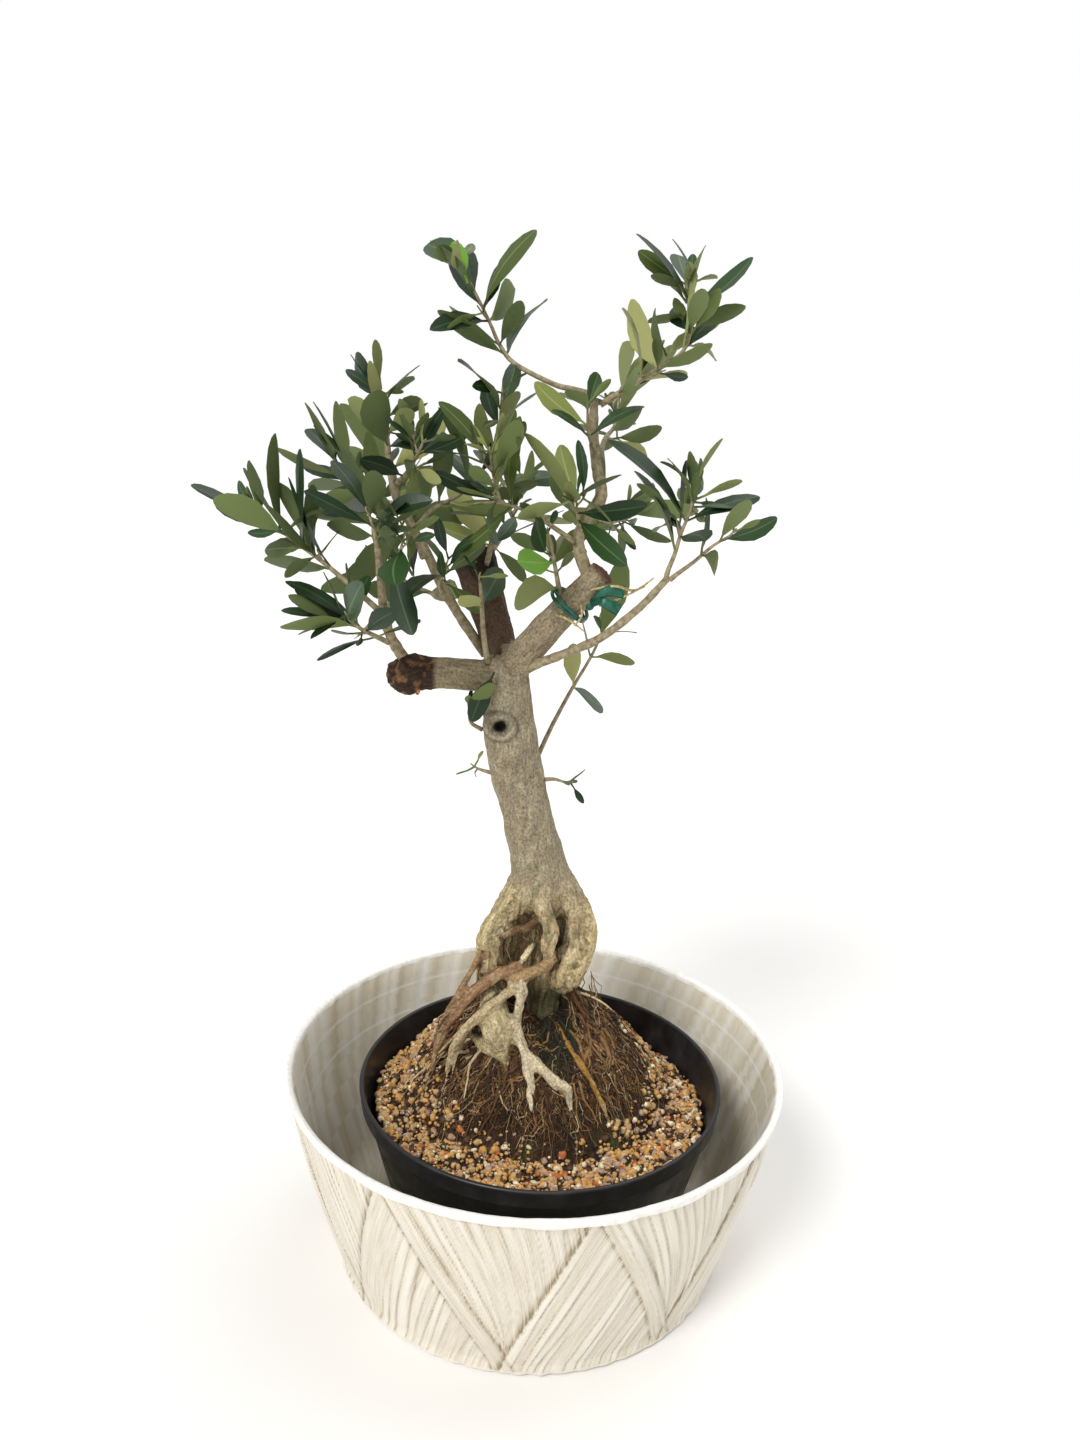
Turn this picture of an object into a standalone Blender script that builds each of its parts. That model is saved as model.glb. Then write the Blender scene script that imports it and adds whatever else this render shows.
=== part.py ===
"""Potted olive tree: a small grafted olive with a flared root crown, standing on a mound of gritty soil in a
plastic nursery pot, inside a wider pleated cover pot.

Metres, +Z up. The origin is the centre of the cover pot's flat underside, +X is the tree's right and -Y its
front. Tables of places and radii are in millimetres and pass through MM.
"""

import math
import random
from collections import namedtuple

import bmesh
import bpy
from mathutils import Matrix, Vector, noise
from mathutils.bvhtree import BVHTree

MM = 0.001
GAP = 0.3 * MM  # clearance between neighbouring pieces
SWELL = 0.45 * MM  # how far a piece is grown before it cuts its neighbour

# Cover pot: a tapering drum whose side is folded in eight zigzag panels.
COVER_HEIGHT = 103.4
COVER_TOP_RADIUS = 125.0
COVER_FOOT_RADIUS = 98.6
COVER_BOW = 2.4
COVER_WALL = 4.2
COVER_FLOOR = 4.0
COVER_PANELS = 8
COVER_RELIEF = 1.1
RIM_APEX = 13.0  # degrees round from the front where a fold reaches the rim
FOOT_APEX = -7.0  # and where it reaches the foot

# Nursery pot: a common 180 mm size, standing a little forward of the middle.
NURSERY_X = 3.0
NURSERY_Y = -5.0
NURSERY_RADIUS = 90.8
NURSERY_RIM = 94.2
NURSERY_BAND = 9.0
NURSERY_FOOT_RADIUS = 67.0
NURSERY_WALL = 1.7

# Soil: level inside the pot, with a domed mound that the root crown grows out of.
SOIL_LEVEL = 81.0
SOIL_TILT = 4.0
SOIL_LOW_SIDE = 35.0  # degrees from +X towards +Y
MOUND_X = 0.0
MOUND_Y = 10.0
MOUND_RADIUS = 70.0
MOUND_FLAT = 22.0
MOUND_TOP = 129.0
MOUND_DOME = 0.75  # under 1 rounds the mound's shoulder
SOIL_ROUGH = 2.2  # how far its lumps rise and fall
SOIL_LUMP = 9.0  # and how far apart they lie
SOIL_RINGS = 9
TRUNK_CUT = 118.0  # height of the flat cut under the trunk

# Trunk axis: x, y, z, radius.
TRUNK = (
    (1, 3, 177, 9.0),
    (1, 3, 183, 13.4),
    (0, 2.5, 192, 15.6),
    (-2, 2, 203, 14.4),
    (-4, 1.5, 213, 12.8),
    (-7, 1, 224, 12.3),
    (-11, 1, 241, 12.3),
    (-16, 0, 260, 12.8),
    (-19, 0, 281, 12.2),
    (-21, 0, 297, 11.6),
    (-21, 0, 308, 9.0),
)
# Root crown: lobes and legs fused to the trunk's foot, with a hollow between them at the front.
CROWN_LOBES = {
    "left": (
        (-6, 0, 200, 9.5), (-11.5, -2, 188, 8.6), (-18, -5, 180.5, 7.6), (-22.5, -7, 172, 7.2),
        (-24.7, -8, 163, 7.0), (-24, -9, 152, 6.8), (-22.5, -10, 139, 6.7), (-20, -11, 130, 7.0),
        (-19, -11, 112, 7.5),
    ),
    "right": (
        (4, 0, 204, 9.0), (9, -2, 196, 7.9), (15.5, -4, 189, 7.0), (18.8, -6, 179, 6.8), (19.2, -8, 168, 7.2),
        (16, -10, 158, 9.0), (12.5, -11, 152, 9.3), (8, -9, 146, 5.5),
    ),
    "front": (
        (-1, -9, 193, 5.2), (2.5, -14, 186, 4.2), (4.7, -17, 177, 3.8), (4.2, -18, 169, 3.8),
        (7, -18, 164, 2.8),
    ),
    "mossy": ((5, 0, 162, 6.0), (4, -2, 146, 7.2), (2, -4, 130, 8.6), (1, -5, 112, 9.0)),
    "back": ((0, 9, 192, 9.0), (-3, 12, 170, 8.6), (-4, 13, 146, 8.2), (-4, 13, 112, 9.0)),
    "back_left": ((-7, 7, 192, 8.6), (-15, 10, 174, 8.0), (-18, 12, 148, 7.4), (-17, 12, 112, 8.4)),
    "back_right": ((7, 7, 194, 8.6), (14, 9, 176, 8.2), (14, 11, 148, 7.8), (11, 11, 112, 9.0)),
}
# A healed pruning scar on the trunk's front and the burl that closes the left bough.
SCAR = (-23.5, -8.5, 275)
SCAR_SIZE = (7.5, 4.2, 7.0)
BURL = (-66, -8, 299)
BURL_SIZE = (9.5, 8.8, 8.6)

# Surface roots: x, y, z, radius along each, from the root crown to the soil.
ROOTS = {
    "root_knob": (
        ((-23, -13, 137, 4.6), (-19, -16, 130, 6.8), (-17.5, -17, 123, 6.2), (-17, -16, 116, 4.6)),
        ((-33, -7, 122, 2.3), (-32.5, -14, 122.5, 2.7), (-29, -20, 121, 3.0), (-23.5, -24.5, 118.5, 3.1),
         (-17, -26.6, 116.5, 2.8), (-11, -27, 112, 2.0)),
    ),
    "root_cross": (
        ((8, -19, 166, 2.6), (2.4, -21, 161.5, 3.2), (-4, -21, 157.5, 3.2), (-10, -20, 154, 3.2),
         (-17, -15, 152, 2.6)),
    ),
    "root_forked": (
        ((-9, -22, 153, 2.8), (-6.7, -23, 149, 3.0), (-8.5, -23.5, 143, 2.7), (-9.5, -23.5, 134, 2.7),
         (-8.2, -24.5, 125, 2.8), (-5, -28.5, 118.5, 3.0), (-3.3, -34.5, 112.8, 2.7), (-1.5, -40.5, 107, 2.9),
         (-0.6, -46, 99, 2.0)),
        ((-5, -28.5, 119, 2.6), (0.4, -31, 116, 2.7), (5.4, -35, 112.6, 2.9), (11.2, -38.5, 109.5, 3.1),
         (15.8, -39.5, 107.5, 2.8), (17.5, -44, 98, 2.0)),
    ),
    "root_diagonal": (
        ((-11, -21, 151.5, 2.6), (-16, -23, 146.5, 2.7), (-23.6, -24.5, 140.5, 2.9), (-31.7, -25.5, 132, 2.9),
         (-38, -25.5, 123, 2.7), (-41, -25, 114, 2.2), (-43, -23, 100, 1.6)),
    ),
    "root_left": (
        ((-8, -15, 158.5, 3.2), (-17, -17.5, 156, 3.4), (-25.6, -19.5, 151, 3.5), (-34, -20.5, 143, 3.6),
         (-40.5, -20, 133.5, 3.4), (-45, -19, 124, 2.8), (-49, -18, 112, 2.2), (-51.5, -17, 96, 1.6)),
    ),
    "root_right": (
        ((9, -9, 127, 1.8), (11.7, -16, 124.4, 1.9), (17.3, -22.5, 118.2, 2.0), (23.3, -28, 112, 1.9),
         (28.2, -32.7, 106, 1.7), (33.2, -38, 98.6, 1.5), (38, -44, 88, 1.2)),
    ),
    "root_back": (
        ((-8, 21, 138, 2.8), (-12, 31, 129, 2.8), (-20, 42, 120, 2.5), (-29, 52, 106, 2.1),
         (-36, 60, 88, 1.6)),
    ),
}

# Boughs and branches: x, y, z, radius along each, from its root to its end.
BOUGHS = {
    "bough_left": ((-14, 1, 298, 7.6), (-37, -3, 299, 7.6), (-51, -6, 300, 7.4), (-68, -9, 300, 7.8)),
    "bough_back": ((-21, 3, 300, 8.0), (-29, 14, 324, 9.0), (-35, 22, 340, 9.8), (-39, 27, 351, 11.2)),
    "bough_right": ((-19, -1, 302, 8.6), (-8, -6, 316, 7.7), (5, -10, 332, 7.0), (21, -16, 350, 6.2)),
}
BRANCHES = {
    "branch_upper": (
        (16, -13, 346, 3.0), (11, -13, 357, 2.9), (10, -12, 366, 2.5), (14, -11, 375, 2.5),
        (19, -10, 383, 2.8), (16, -8, 397, 2.3), (14.5, -5, 411, 2.1), (14, -4, 423, 1.9),
    ),
    "branch_right": (
        (-15, -3, 300, 2.4), (-6, -10, 307, 2.2), (4, -14, 312, 2.0), (21, -22, 322, 1.9),
        (37, -28, 337, 1.7), (48, -32, 351, 1.5),
    ),
    "branch_lead": (
        (-31, 12, 306, 2.4), (-43, 8, 324, 2.3), (-51, 4, 338, 2.2), (-58, 0, 354, 2.1), (-65, -4, 367, 2.0),
        (-71, -8, 379, 1.9), (-74, -10, 397, 1.6),
    ),
    "branch_riser": (
        (-66, -8, 305, 2.8), (-72, -14, 317, 2.3), (-74, -22, 329, 2.0), (-75, -26, 344, 1.7),
        (-76, -28, 358, 1.3),
    ),
}

# Foliage: each mass has one stem that leaves a limb, and any others branch from that stem.
# stem: x, y, z along it; thick: its radii at the two ends; first: where the first leaf pair sits, as a part
# of the stem's length; leaf: blade length; roll: degrees that turn the first pair round the stem; seeds: one
# for each leaf pair, from the foot to the tip.
Shoot = namedtuple("Shoot", "stem thick first leaf roll seeds")
MASSES = {
    "leaves_top_left": (
        Shoot(((14, -4, 425), (5, -3, 427), (-4, -2, 429), (-21, 2, 437), (-28, 4, 445), (-32, 4, 453),
               (-38, 4, 464), (-45, 2, 476)), (1.4, 0.5),
              0.50, 34, 0, (2712, 2753, 2595, 2090, 1589, 3211)),
    ),
    "leaves_top_right": (
        Shoot(((17, -4, 421), (29, -2, 429), (43, 2, 438), (52, 4, 445), (55, 6, 455), (55, 8, 472)),
              (1.4, 0.5), 0.18, 33, 150, (597, 250, 3146, 2172, 1526, 556, 1351)),
    ),
    "leaves_fork": (
        Shoot(((15, -10, 402), (12, -14, 409), (11, -16, 419)), (1.0, 0.5), 0.35, 27, 0, (2626, 958, 35)),
    ),
    "leaves_middle": (
        Shoot(((-34, 23, 340), (-30, 12, 356), (-28, 6, 371), (-27, 2, 400), (-26, 0, 423)), (1.5, 0.6),
              0.30, 27, 0, (2682, 1828, 110, 705, 2218)),
    ),
    "leaves_inner": (
        Shoot(((8, -15, 363), (-3, -18, 370), (-11, -22, 375), (-24, -26, 379), (-30, -28, 379)), (1.2, 0.5),
              0.48, 31, 0, (291, 3097, 183)),
        Shoot(((-24, -26, 379), (-27, -27, 388), (-29, -27, 398)), (0.8, 0.5),
              0.40, 30, 0, (1519, 1095, 3077)),
    ),
    "leaves_spur": (
        Shoot(((3, -12, 338), (0, -16, 352), (-3, -17, 365)), (1.3, 0.5),
              0.30, 28, 150, (1566, 395, 3027)),
    ),
    "leaves_elbow": (
        Shoot(((11, -14, 368), (9, -19, 373), (8, -22, 380)), (1.0, 0.5), 0.55, 30, 60, (2318, 3129, 105)),
    ),
    "leaves_right_up": (
        Shoot(((47.2, -31.6, 350), (47.8, -32, 354), (50, -33, 361), (52, -34, 370), (55, -34, 379),
               (56, -34, 387)), (1.2, 0.5), 0.30, 33, 120, (1609, 1297, 2218, 2728)),
    ),
    "leaves_right_out": (
        Shoot(((48.8, -32.2, 350), (52, -33, 353), (58, -34, 358), (65, -36, 365), (72, -37, 370)),
              (1.2, 0.5), 0.45, 30, 150, (1200, 3027)),
    ),
    "leaves_right_back": (
        Shoot(((-5, 9, 256), (2, 17, 271), (11, 24, 288), (19, 28, 302), (24, 30, 313)), (1.2, 0.6),
              0.62, 30, 30, (2654, 2398, 312)),
    ),
    "leaves_front": (
        Shoot(((-29, -7, 306), (-31, -12, 321), (-32, -14, 336), (-33, -14, 344)), (1.5, 0.6),
              0.70, 27, 30, (3138,)),
    ),
    "leaves_left_top": (
        Shoot(((-74, -10, 395), (-75, -10, 407), (-76, -10, 419)), (1.5, 0.6),
              0.25, 29, 30, (887, 896, 3018, 77)),
    ),
    "leaves_left_back": (
        Shoot(((-70, -5, 375), (-80, 4, 377), (-93, 10, 383), (-101, 12, 392)), (1.2, 0.5),
              0.42, 28, 90, (2968, 1239, 2526, 164, 3361)),
    ),
    "leaves_riser": (
        Shoot(((-76, -28, 356), (-77, -29, 364), (-79, -30, 372)), (1.2, 0.6),
              0.20, 30, 150, (428, 1304, 2223, 3252)),
    ),
    "leaves_left_long": (
        Shoot(((-77, -22, 331), (-90, -18, 341), (-104, -14, 351), (-114, -11, 357), (-130, -8, 368)),
              (1.5, 0.6), 0.45, 35, 120, (2808, 788, 1204, 3461, 3048, 3277)),
    ),
    "leaves_left_low": (
        Shoot(((-73, -15, 315), (-79, -20, 319), (-85, -24, 323), (-89, -26, 327)), (1.3, 0.6),
              0.40, 34, 120, (570, 1319, 2813, 785)),
    ),
    "leaves_left_centre": (
        Shoot(((-63, -4, 365), (-55, -6, 374), (-44, -7, 380), (-37, -7, 386)), (1.2, 0.5),
              0.40, 28, 150, (2593, 1760, 3149)),
    ),
    "leaves_lead_low": (
        Shoot(((-51, 2, 336), (-52, -5, 341), (-49, -12, 346)), (1.2, 0.6), 0.60, 30, 60, (514, 2060)),
    ),
    "sprig_trunk_left": (
        Shoot(((-31, -3, 273), (-36, -6, 277), (-37, -8, 283)), (1.1, 0.6), 1.0, 20, 90, (1595,)),
    ),
    "sprig_trunk_low": (
        Shoot(((-26, 0, 251), (-30, 0, 252), (-33, 0, 253)), (1.1, 0.6), 1.0, 12, 90, (1678,)),
    ),
    "sprig_trunk_right": (
        Shoot(((-1, -1, 249), (4, -3, 250), (9, -4, 249)), (1.1, 0.6), 1.0, 15, 150, (3330,)),
    ),
    "leaves_back_left": (
        Shoot(((-60, 0, 352), (-66, 20, 360), (-76, 40, 372), (-82, 56, 388)), (1.4, 0.6),
              0.38, 33, 0, (168, 757, 328, 842, 525)),
    ),
    "leaves_back_middle": (
        Shoot(((-37, 36, 344), (-30, 52, 352), (-22, 66, 366), (-18, 74, 384)), (1.4, 0.6),
              0.30, 33, 90, (679, 1109, 988, 218, 132)),
    ),
    "leaves_back_top": (
        Shoot(((18, -6, 398), (20, 12, 406), (26, 32, 414), (28, 50, 428)), (1.4, 0.6),
              0.34, 32, 135, (707, 973, 531, 977, 505)),
    ),
    "leaves_back_right": (
        Shoot(((16, -9, 374), (22, 8, 371), (28, 28, 369), (33, 46, 372)), (1.4, 0.6),
              0.34, 30, 45, (31, 849, 46, 158, 392)),
    ),
    "leaves_left_inner": (
        Shoot(((-75, -28, 345), (-69, -37, 352), (-63, -45, 361)), (1.2, 0.6),
              0.35, 30, 135, (51, 579, 523, 167)),
    ),
    "leaves_left_high": (
        Shoot(((-71, -9, 384), (-64, -18, 391), (-58, -25, 401)), (1.2, 0.6),
              0.35, 29, 0, (418, 617, 739, 926)),
    ),
    "leaves_left_rear": (
        Shoot(((-62, 0, 362), (-74, 14, 364), (-86, 24, 370), (-94, 34, 380)), (1.3, 0.6),
              0.32, 31, 135, (758, 206, 617, 963, 553)),
    ),
    "leaves_left_under": (
        Shoot(((-47, 8, 332), (-58, 14, 334), (-70, 20, 338), (-80, 30, 344)), (1.3, 0.6),
              0.35, 30, 45, (223, 516, 345, 327)),
    ),
}

LEAF_SHAPE = ((0.0, 0.14), (0.30, 0.90), (0.74, 0.90))  # along the blade, part of the half width
LEAF_SLENDER = (0.16, 0.225)  # half width over length
LEAF_THICK = 0.55
PETIOLE = 4.0
PETIOLE_RADIUS = 0.5

# Soft tie round the right bough.
TIE_AT = 0.62
TIE_RADIUS = 1.1

BARK = (0.262, 0.212, 0.138)
BOUGH_BARK = (0.279, 0.197, 0.116)
ROOT_BARK = (0.584, 0.479, 0.319)
TWIG = (0.246, 0.210, 0.122)
LEAF = (0.042, 0.088, 0.040)
COVER = (0.855, 0.791, 0.672)
BLACK_PLASTIC = (0.012, 0.012, 0.013)
SOIL = (0.319, 0.184, 0.080)
TIE_GREEN = (0.006, 0.099, 0.063)


def principled(name, colour, roughness):
    """A plain Principled material."""
    material = bpy.data.materials.new(name)
    material.use_nodes = True
    shader = material.node_tree.nodes["Principled BSDF"]
    shader.inputs["Base Color"].default_value = (*colour, 1.0)
    shader.inputs["Roughness"].default_value = roughness
    shader.inputs["Metallic"].default_value = 0.0
    material.diffuse_color = (*colour, 1.0)
    return material


def link_mesh(name, bm, into=None):
    """Turns a bmesh into an object with its faces out."""
    bmesh.ops.recalc_face_normals(bm, faces=bm.faces)
    mesh = bpy.data.meshes.new(name)
    bm.to_mesh(mesh)
    bm.free()
    obj = bpy.data.objects.new(name, mesh)
    (into or bpy.context.scene.collection).objects.link(obj)
    return obj


def read_mesh(obj):
    """The object's evaluated mesh as a bmesh, in world space."""
    graph = bpy.context.evaluated_depsgraph_get()
    evaluated = obj.evaluated_get(graph)
    bm = bmesh.new()
    bm.from_mesh(evaluated.to_mesh())
    evaluated.to_mesh_clear()
    bmesh.ops.transform(bm, matrix=obj.matrix_world, verts=bm.verts)
    return bm


def smooth_path(points, spans):
    """A Catmull-Rom curve through points of any size, with spans steps from each to the next."""
    points = [Vector(point) for point in points]
    guides = [points[0] * 2 - points[1], *points, points[-1] * 2 - points[-2]]
    path = []
    for a, b, c, d in zip(guides, guides[1:], guides[2:], guides[3:]):
        for step in range(spans):
            t = step / spans
            bend = (a * 2 - b * 5 + c * 4 - d) * t**2 + (b * 3 - a - c * 3 + d) * t**3
            path.append((b * 2 + (c - a) * t + bend) / 2)
    return [*path, points[-1]]


def tube(bm, path, sides, swell=0.0):
    """A closed tapering tube. Each point of path is x, y, z, radius in metres."""
    side = None
    rings = []
    for index, point in enumerate(path):
        ahead = path[min(index + 1, len(path) - 1)].xyz - path[max(index - 1, 0)].xyz
        tangent = ahead.normalized()
        side = tangent.orthogonal() if side is None else side - tangent * side.dot(tangent)
        side.normalize()
        other = tangent.cross(side)
        ring = []
        for corner in range(sides):
            angle = math.tau * corner / sides
            reach = (side * math.cos(angle) + other * math.sin(angle)) * (point[3] + swell)
            ring.append(bm.verts.new(point.xyz + reach))
        rings.append(ring)
    for first, second in zip(rings, rings[1:]):
        for corner in range(sides):
            after = (corner + 1) % sides
            bm.faces.new((first[corner], first[after], second[after], second[corner]))
    bm.faces.new(rings[0])
    bm.faces.new(rings[-1])


def limb(name, points, sides, spans, into=None):
    """One tapering limb as an object."""
    bm = bmesh.new()
    tube(bm, [point * MM for point in smooth_path(points, spans)], sides)
    return link_mesh(name, bm, into)


def ball(name, centre, size, into=None):
    """A rounded lump with the given half sizes."""
    bm = bmesh.new()
    place = Matrix.Translation(Vector(centre) * MM) @ Matrix.Diagonal((*(Vector(size) * MM), 1))
    bmesh.ops.create_icosphere(bm, subdivisions=2, radius=1, matrix=place)
    return link_mesh(name, bm, into)


def remove(*objects):
    for obj in objects:
        bpy.data.objects.remove(obj, do_unlink=True)


def largest_body(obj):
    """Keeps the largest of the object's separate bodies."""
    bm = bmesh.new()
    bm.from_mesh(obj.data)
    bm.verts.ensure_lookup_table()
    unseen = set(bm.verts)
    bodies = []
    while unseen:
        stack = [unseen.pop()]
        body = set(stack)
        while stack:
            for edge in stack.pop().link_edges:
                for vert in edge.verts:
                    if vert in unseen:
                        unseen.remove(vert)
                        body.add(vert)
                        stack.append(vert)
        bodies.append(body)
    bodies.sort(key=len)
    for body in bodies[:-1]:
        bmesh.ops.delete(bm, geom=list(body), context="VERTS")
    bmesh.ops.triangulate(bm, faces=bm.faces)
    bm.to_mesh(obj.data)
    bm.free()


def apply_boolean(obj, operation, other=None, collection=None, solver="EXACT"):
    """Joins or cuts, and keeps the result as the object's own mesh."""
    boolean = obj.modifiers.new(operation.title(), "BOOLEAN")
    boolean.operation = operation
    boolean.solver = solver
    if collection is None:
        boolean.object = other
    else:
        boolean.operand_type = "COLLECTION"
        boolean.collection = collection
    bm = read_mesh(obj)
    obj.modifiers.remove(boolean)
    bm.to_mesh(obj.data)
    bm.free()
    largest_body(obj)


def join(obj, collection, solver="EXACT"):
    """Unites the object with everything in the collection, then removes the collection's objects."""
    if collection.objects:
        apply_boolean(obj, "UNION", collection=collection, solver=solver)
    remove(*collection.objects)
    bpy.data.collections.remove(collection)


def gather(name):
    collection = bpy.data.collections.new(name)
    bpy.context.scene.collection.children.link(collection)
    return collection


def swollen(obj):
    """A copy of the object with each point moved out along its normal."""
    bm = read_mesh(obj)
    bm.normal_update()
    moves = [(vert, vert.normal.copy()) for vert in bm.verts]
    for vert, normal in moves:
        vert.co += normal * SWELL
    return link_mesh(obj.name + "_cutter", bm)


def cut_clear(obj, *neighbours):
    """Cuts the object clear of its neighbours by the gap."""
    for neighbour in neighbours:
        cutter = swollen(neighbour)
        apply_boolean(obj, "DIFFERENCE", other=cutter)
        remove(cutter)


def finish(obj, colour, roughness, angle=50):
    """Shades the object smooth and gives it its own material."""
    obj.data.materials.clear()
    obj.data.materials.append(principled(obj.name + "_surface", colour, roughness))
    obj.data.shade_smooth()
    obj.data.set_sharp_from_angle(angle=math.radians(angle))
    return obj


def turned(name, profile, steps, shape=None):
    """Spins a closed profile of (radius, height) in millimetres round Z, then moves its points by shape."""
    bm = bmesh.new()
    verts = [bm.verts.new((radius * MM, 0, height * MM)) for radius, height in profile]
    for first, second in zip(verts, verts[1:]):
        bm.edges.new((first, second))
    whole = [*bm.verts, *bm.edges]
    bmesh.ops.spin(
        bm, geom=whole, cent=(0, 0, 0), axis=(0, 0, 1), angle=math.tau, steps=steps, use_merge=True
    )
    bmesh.ops.remove_doubles(bm, verts=bm.verts, dist=0.00001)
    if shape is not None:
        for vert in bm.verts:
            vert.co = shape(vert.co / MM) * MM
    return link_mesh(name, bm)


def cover_radius(height):
    """Outer radius of the cover pot at a height, without its folds."""
    t = height / COVER_HEIGHT
    return COVER_FOOT_RADIUS + (COVER_TOP_RADIUS - COVER_FOOT_RADIUS) * t + COVER_BOW * math.sin(math.pi * t)


def fold_depth(angle, height):
    """How far the side stands out where the zigzag folds run, from 0 in a panel's middle to 1 on a fold."""
    period = 360 / COVER_PANELS
    t = height / COVER_HEIGHT
    turn = math.degrees(angle) + 90
    rising = FOOT_APEX + (RIM_APEX - FOOT_APEX) * t
    falling = FOOT_APEX + period - (FOOT_APEX + period - RIM_APEX) * t
    nearest = min(abs((turn - fold + period / 2) % period - period / 2) for fold in (rising, falling))
    return max(0.0, 1 - nearest / 9)


def fold_cover(point):
    """Presses the folds into the outer side between foot and rim."""
    radius = point.xy.length
    height = point.z
    if radius < cover_radius(height) - 1 or not 2 < height < COVER_HEIGHT - 4:
        return point
    depth = COVER_RELIEF * (1 - fold_depth(math.atan2(point.y, point.x), height))
    return Vector((*(point.xy * (1 - depth / radius)), height))


def make_cover_pot():
    outer = [(cover_radius(height), height) for height in (4, 22, 40, 58, 76, 92)]
    profile = [
        (0, 0),
        (COVER_FOOT_RADIUS - 2.5, 0),
        (COVER_FOOT_RADIUS - 0.6, 1.2),
        *outer,
        (COVER_TOP_RADIUS, COVER_HEIGHT - 2.5),
        (COVER_TOP_RADIUS - 1.6, COVER_HEIGHT),
        (COVER_TOP_RADIUS - COVER_WALL + 0.6, COVER_HEIGHT - 0.4),
        (cover_radius(92) - COVER_WALL, 92),
        (cover_radius(40) - COVER_WALL, 40),
        (cover_radius(COVER_FLOOR) - COVER_WALL, COVER_FLOOR),
        (0, COVER_FLOOR),
    ]
    return finish(turned("cover_pot", profile, 64, fold_cover), COVER, 0.45)


def nursery_side(height):
    """Outer radius of the nursery pot's side at a height."""
    foot = COVER_FLOOR + 0.3
    t = (height - foot) / (NURSERY_RIM - NURSERY_BAND - foot)
    return NURSERY_FOOT_RADIUS + (NURSERY_RADIUS - 3.0 - NURSERY_FOOT_RADIUS) * t


def make_nursery_pot():
    foot = COVER_FLOOR + 0.3
    shoulder = NURSERY_RIM - NURSERY_BAND
    profile = [
        (0, foot),
        (NURSERY_FOOT_RADIUS - 1, foot),
        (nursery_side(foot + 2), foot + 2),
        (nursery_side(shoulder), shoulder),
        (NURSERY_RADIUS - 0.6, shoulder + 0.6),
        (NURSERY_RADIUS, NURSERY_RIM - 1.2),
        (NURSERY_RADIUS - 0.9, NURSERY_RIM),
        (NURSERY_RADIUS - 2.4, NURSERY_RIM - 0.4),
        (nursery_side(shoulder) - NURSERY_WALL, shoulder - 1),
        (nursery_side(foot + 3) - NURSERY_WALL, foot + 2.2),
        (0, foot + 2.2),
    ]
    obj = turned("nursery_pot", profile, 40, lambda point: point + Vector((NURSERY_X, NURSERY_Y, 0)))
    return finish(obj, BLACK_PLASTIC, 0.4)


def soil_height(x, y):
    """Height of the soil: a gently tilted level with the mound on it."""
    low = math.radians(SOIL_LOW_SIDE)
    level = SOIL_LEVEL - SOIL_TILT * (x * math.cos(low) + y * math.sin(low)) / NURSERY_RADIUS
    away = math.hypot(x - MOUND_X, y - MOUND_Y)
    rise = min(1.0, max(0.0, (MOUND_RADIUS - away) / (MOUND_RADIUS - MOUND_FLAT))) ** MOUND_DOME
    height = level + (MOUND_TOP - level) * rise
    return height + SOIL_ROUGH * noise.noise(Vector((x, y, 0)) / SOIL_LUMP)


def foot_seat(trunk):
    """The convex space round the trunk's buried foot, open at the top of the mound."""
    bm = bmesh.new()
    above = (MOUND_TOP + 2 * SOIL_ROUGH) * MM
    for vert in trunk.data.vertices:
        if vert.co.z < above:
            bm.verts.new(vert.co)
            bm.verts.new((vert.co.x, vert.co.y, above))
    hull = bmesh.ops.convex_hull(bm, input=bm.verts)
    bmesh.ops.delete(bm, geom=list({*hull["geom_interior"], *hull["geom_unused"]}), context="VERTS")
    return link_mesh("foot_seat", bm)


def make_soil(trunk):
    """The soil, with a flat-bottomed seat for the trunk's foot."""
    floor = COVER_FLOOR + 0.3 + 2.2 + 0.3
    inside = NURSERY_WALL + 0.4
    top = SOIL_LEVEL + 6
    wall = nursery_side(SOIL_LEVEL - SOIL_TILT - 3) - inside

    def shape(point):
        if point.z < top - 1:
            return point + Vector((NURSERY_X, NURSERY_Y, 0))
        share = min(1.0, point.xy.length / wall)
        x = point.x + MOUND_X * (1 - share) + NURSERY_X * share
        y = point.y + MOUND_Y * (1 - share) + NURSERY_Y * share
        return Vector((x, y, soil_height(x, y)))

    profile = [(0, floor), (nursery_side(floor) - inside, floor), (wall, SOIL_LEVEL - SOIL_TILT - 4)]
    profile += [(wall * (1 - ring / SOIL_RINGS), top) for ring in range(SOIL_RINGS + 1)]
    soil = turned("soil", profile, 40, shape)
    seat = foot_seat(trunk)
    cut_clear(soil, seat)
    remove(seat)
    return finish(soil, SOIL, 0.95)


def weather(obj, amount, scale):
    """Roughens the surface with smooth noise."""
    bm = bmesh.new()
    bm.from_mesh(obj.data)
    bm.normal_update()
    moves = [(vert, vert.normal * noise.noise(vert.co / (scale * MM)) * amount * MM) for vert in bm.verts]
    for vert, move in moves:
        vert.co += move
    bm.to_mesh(obj.data)
    bm.free()


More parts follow.
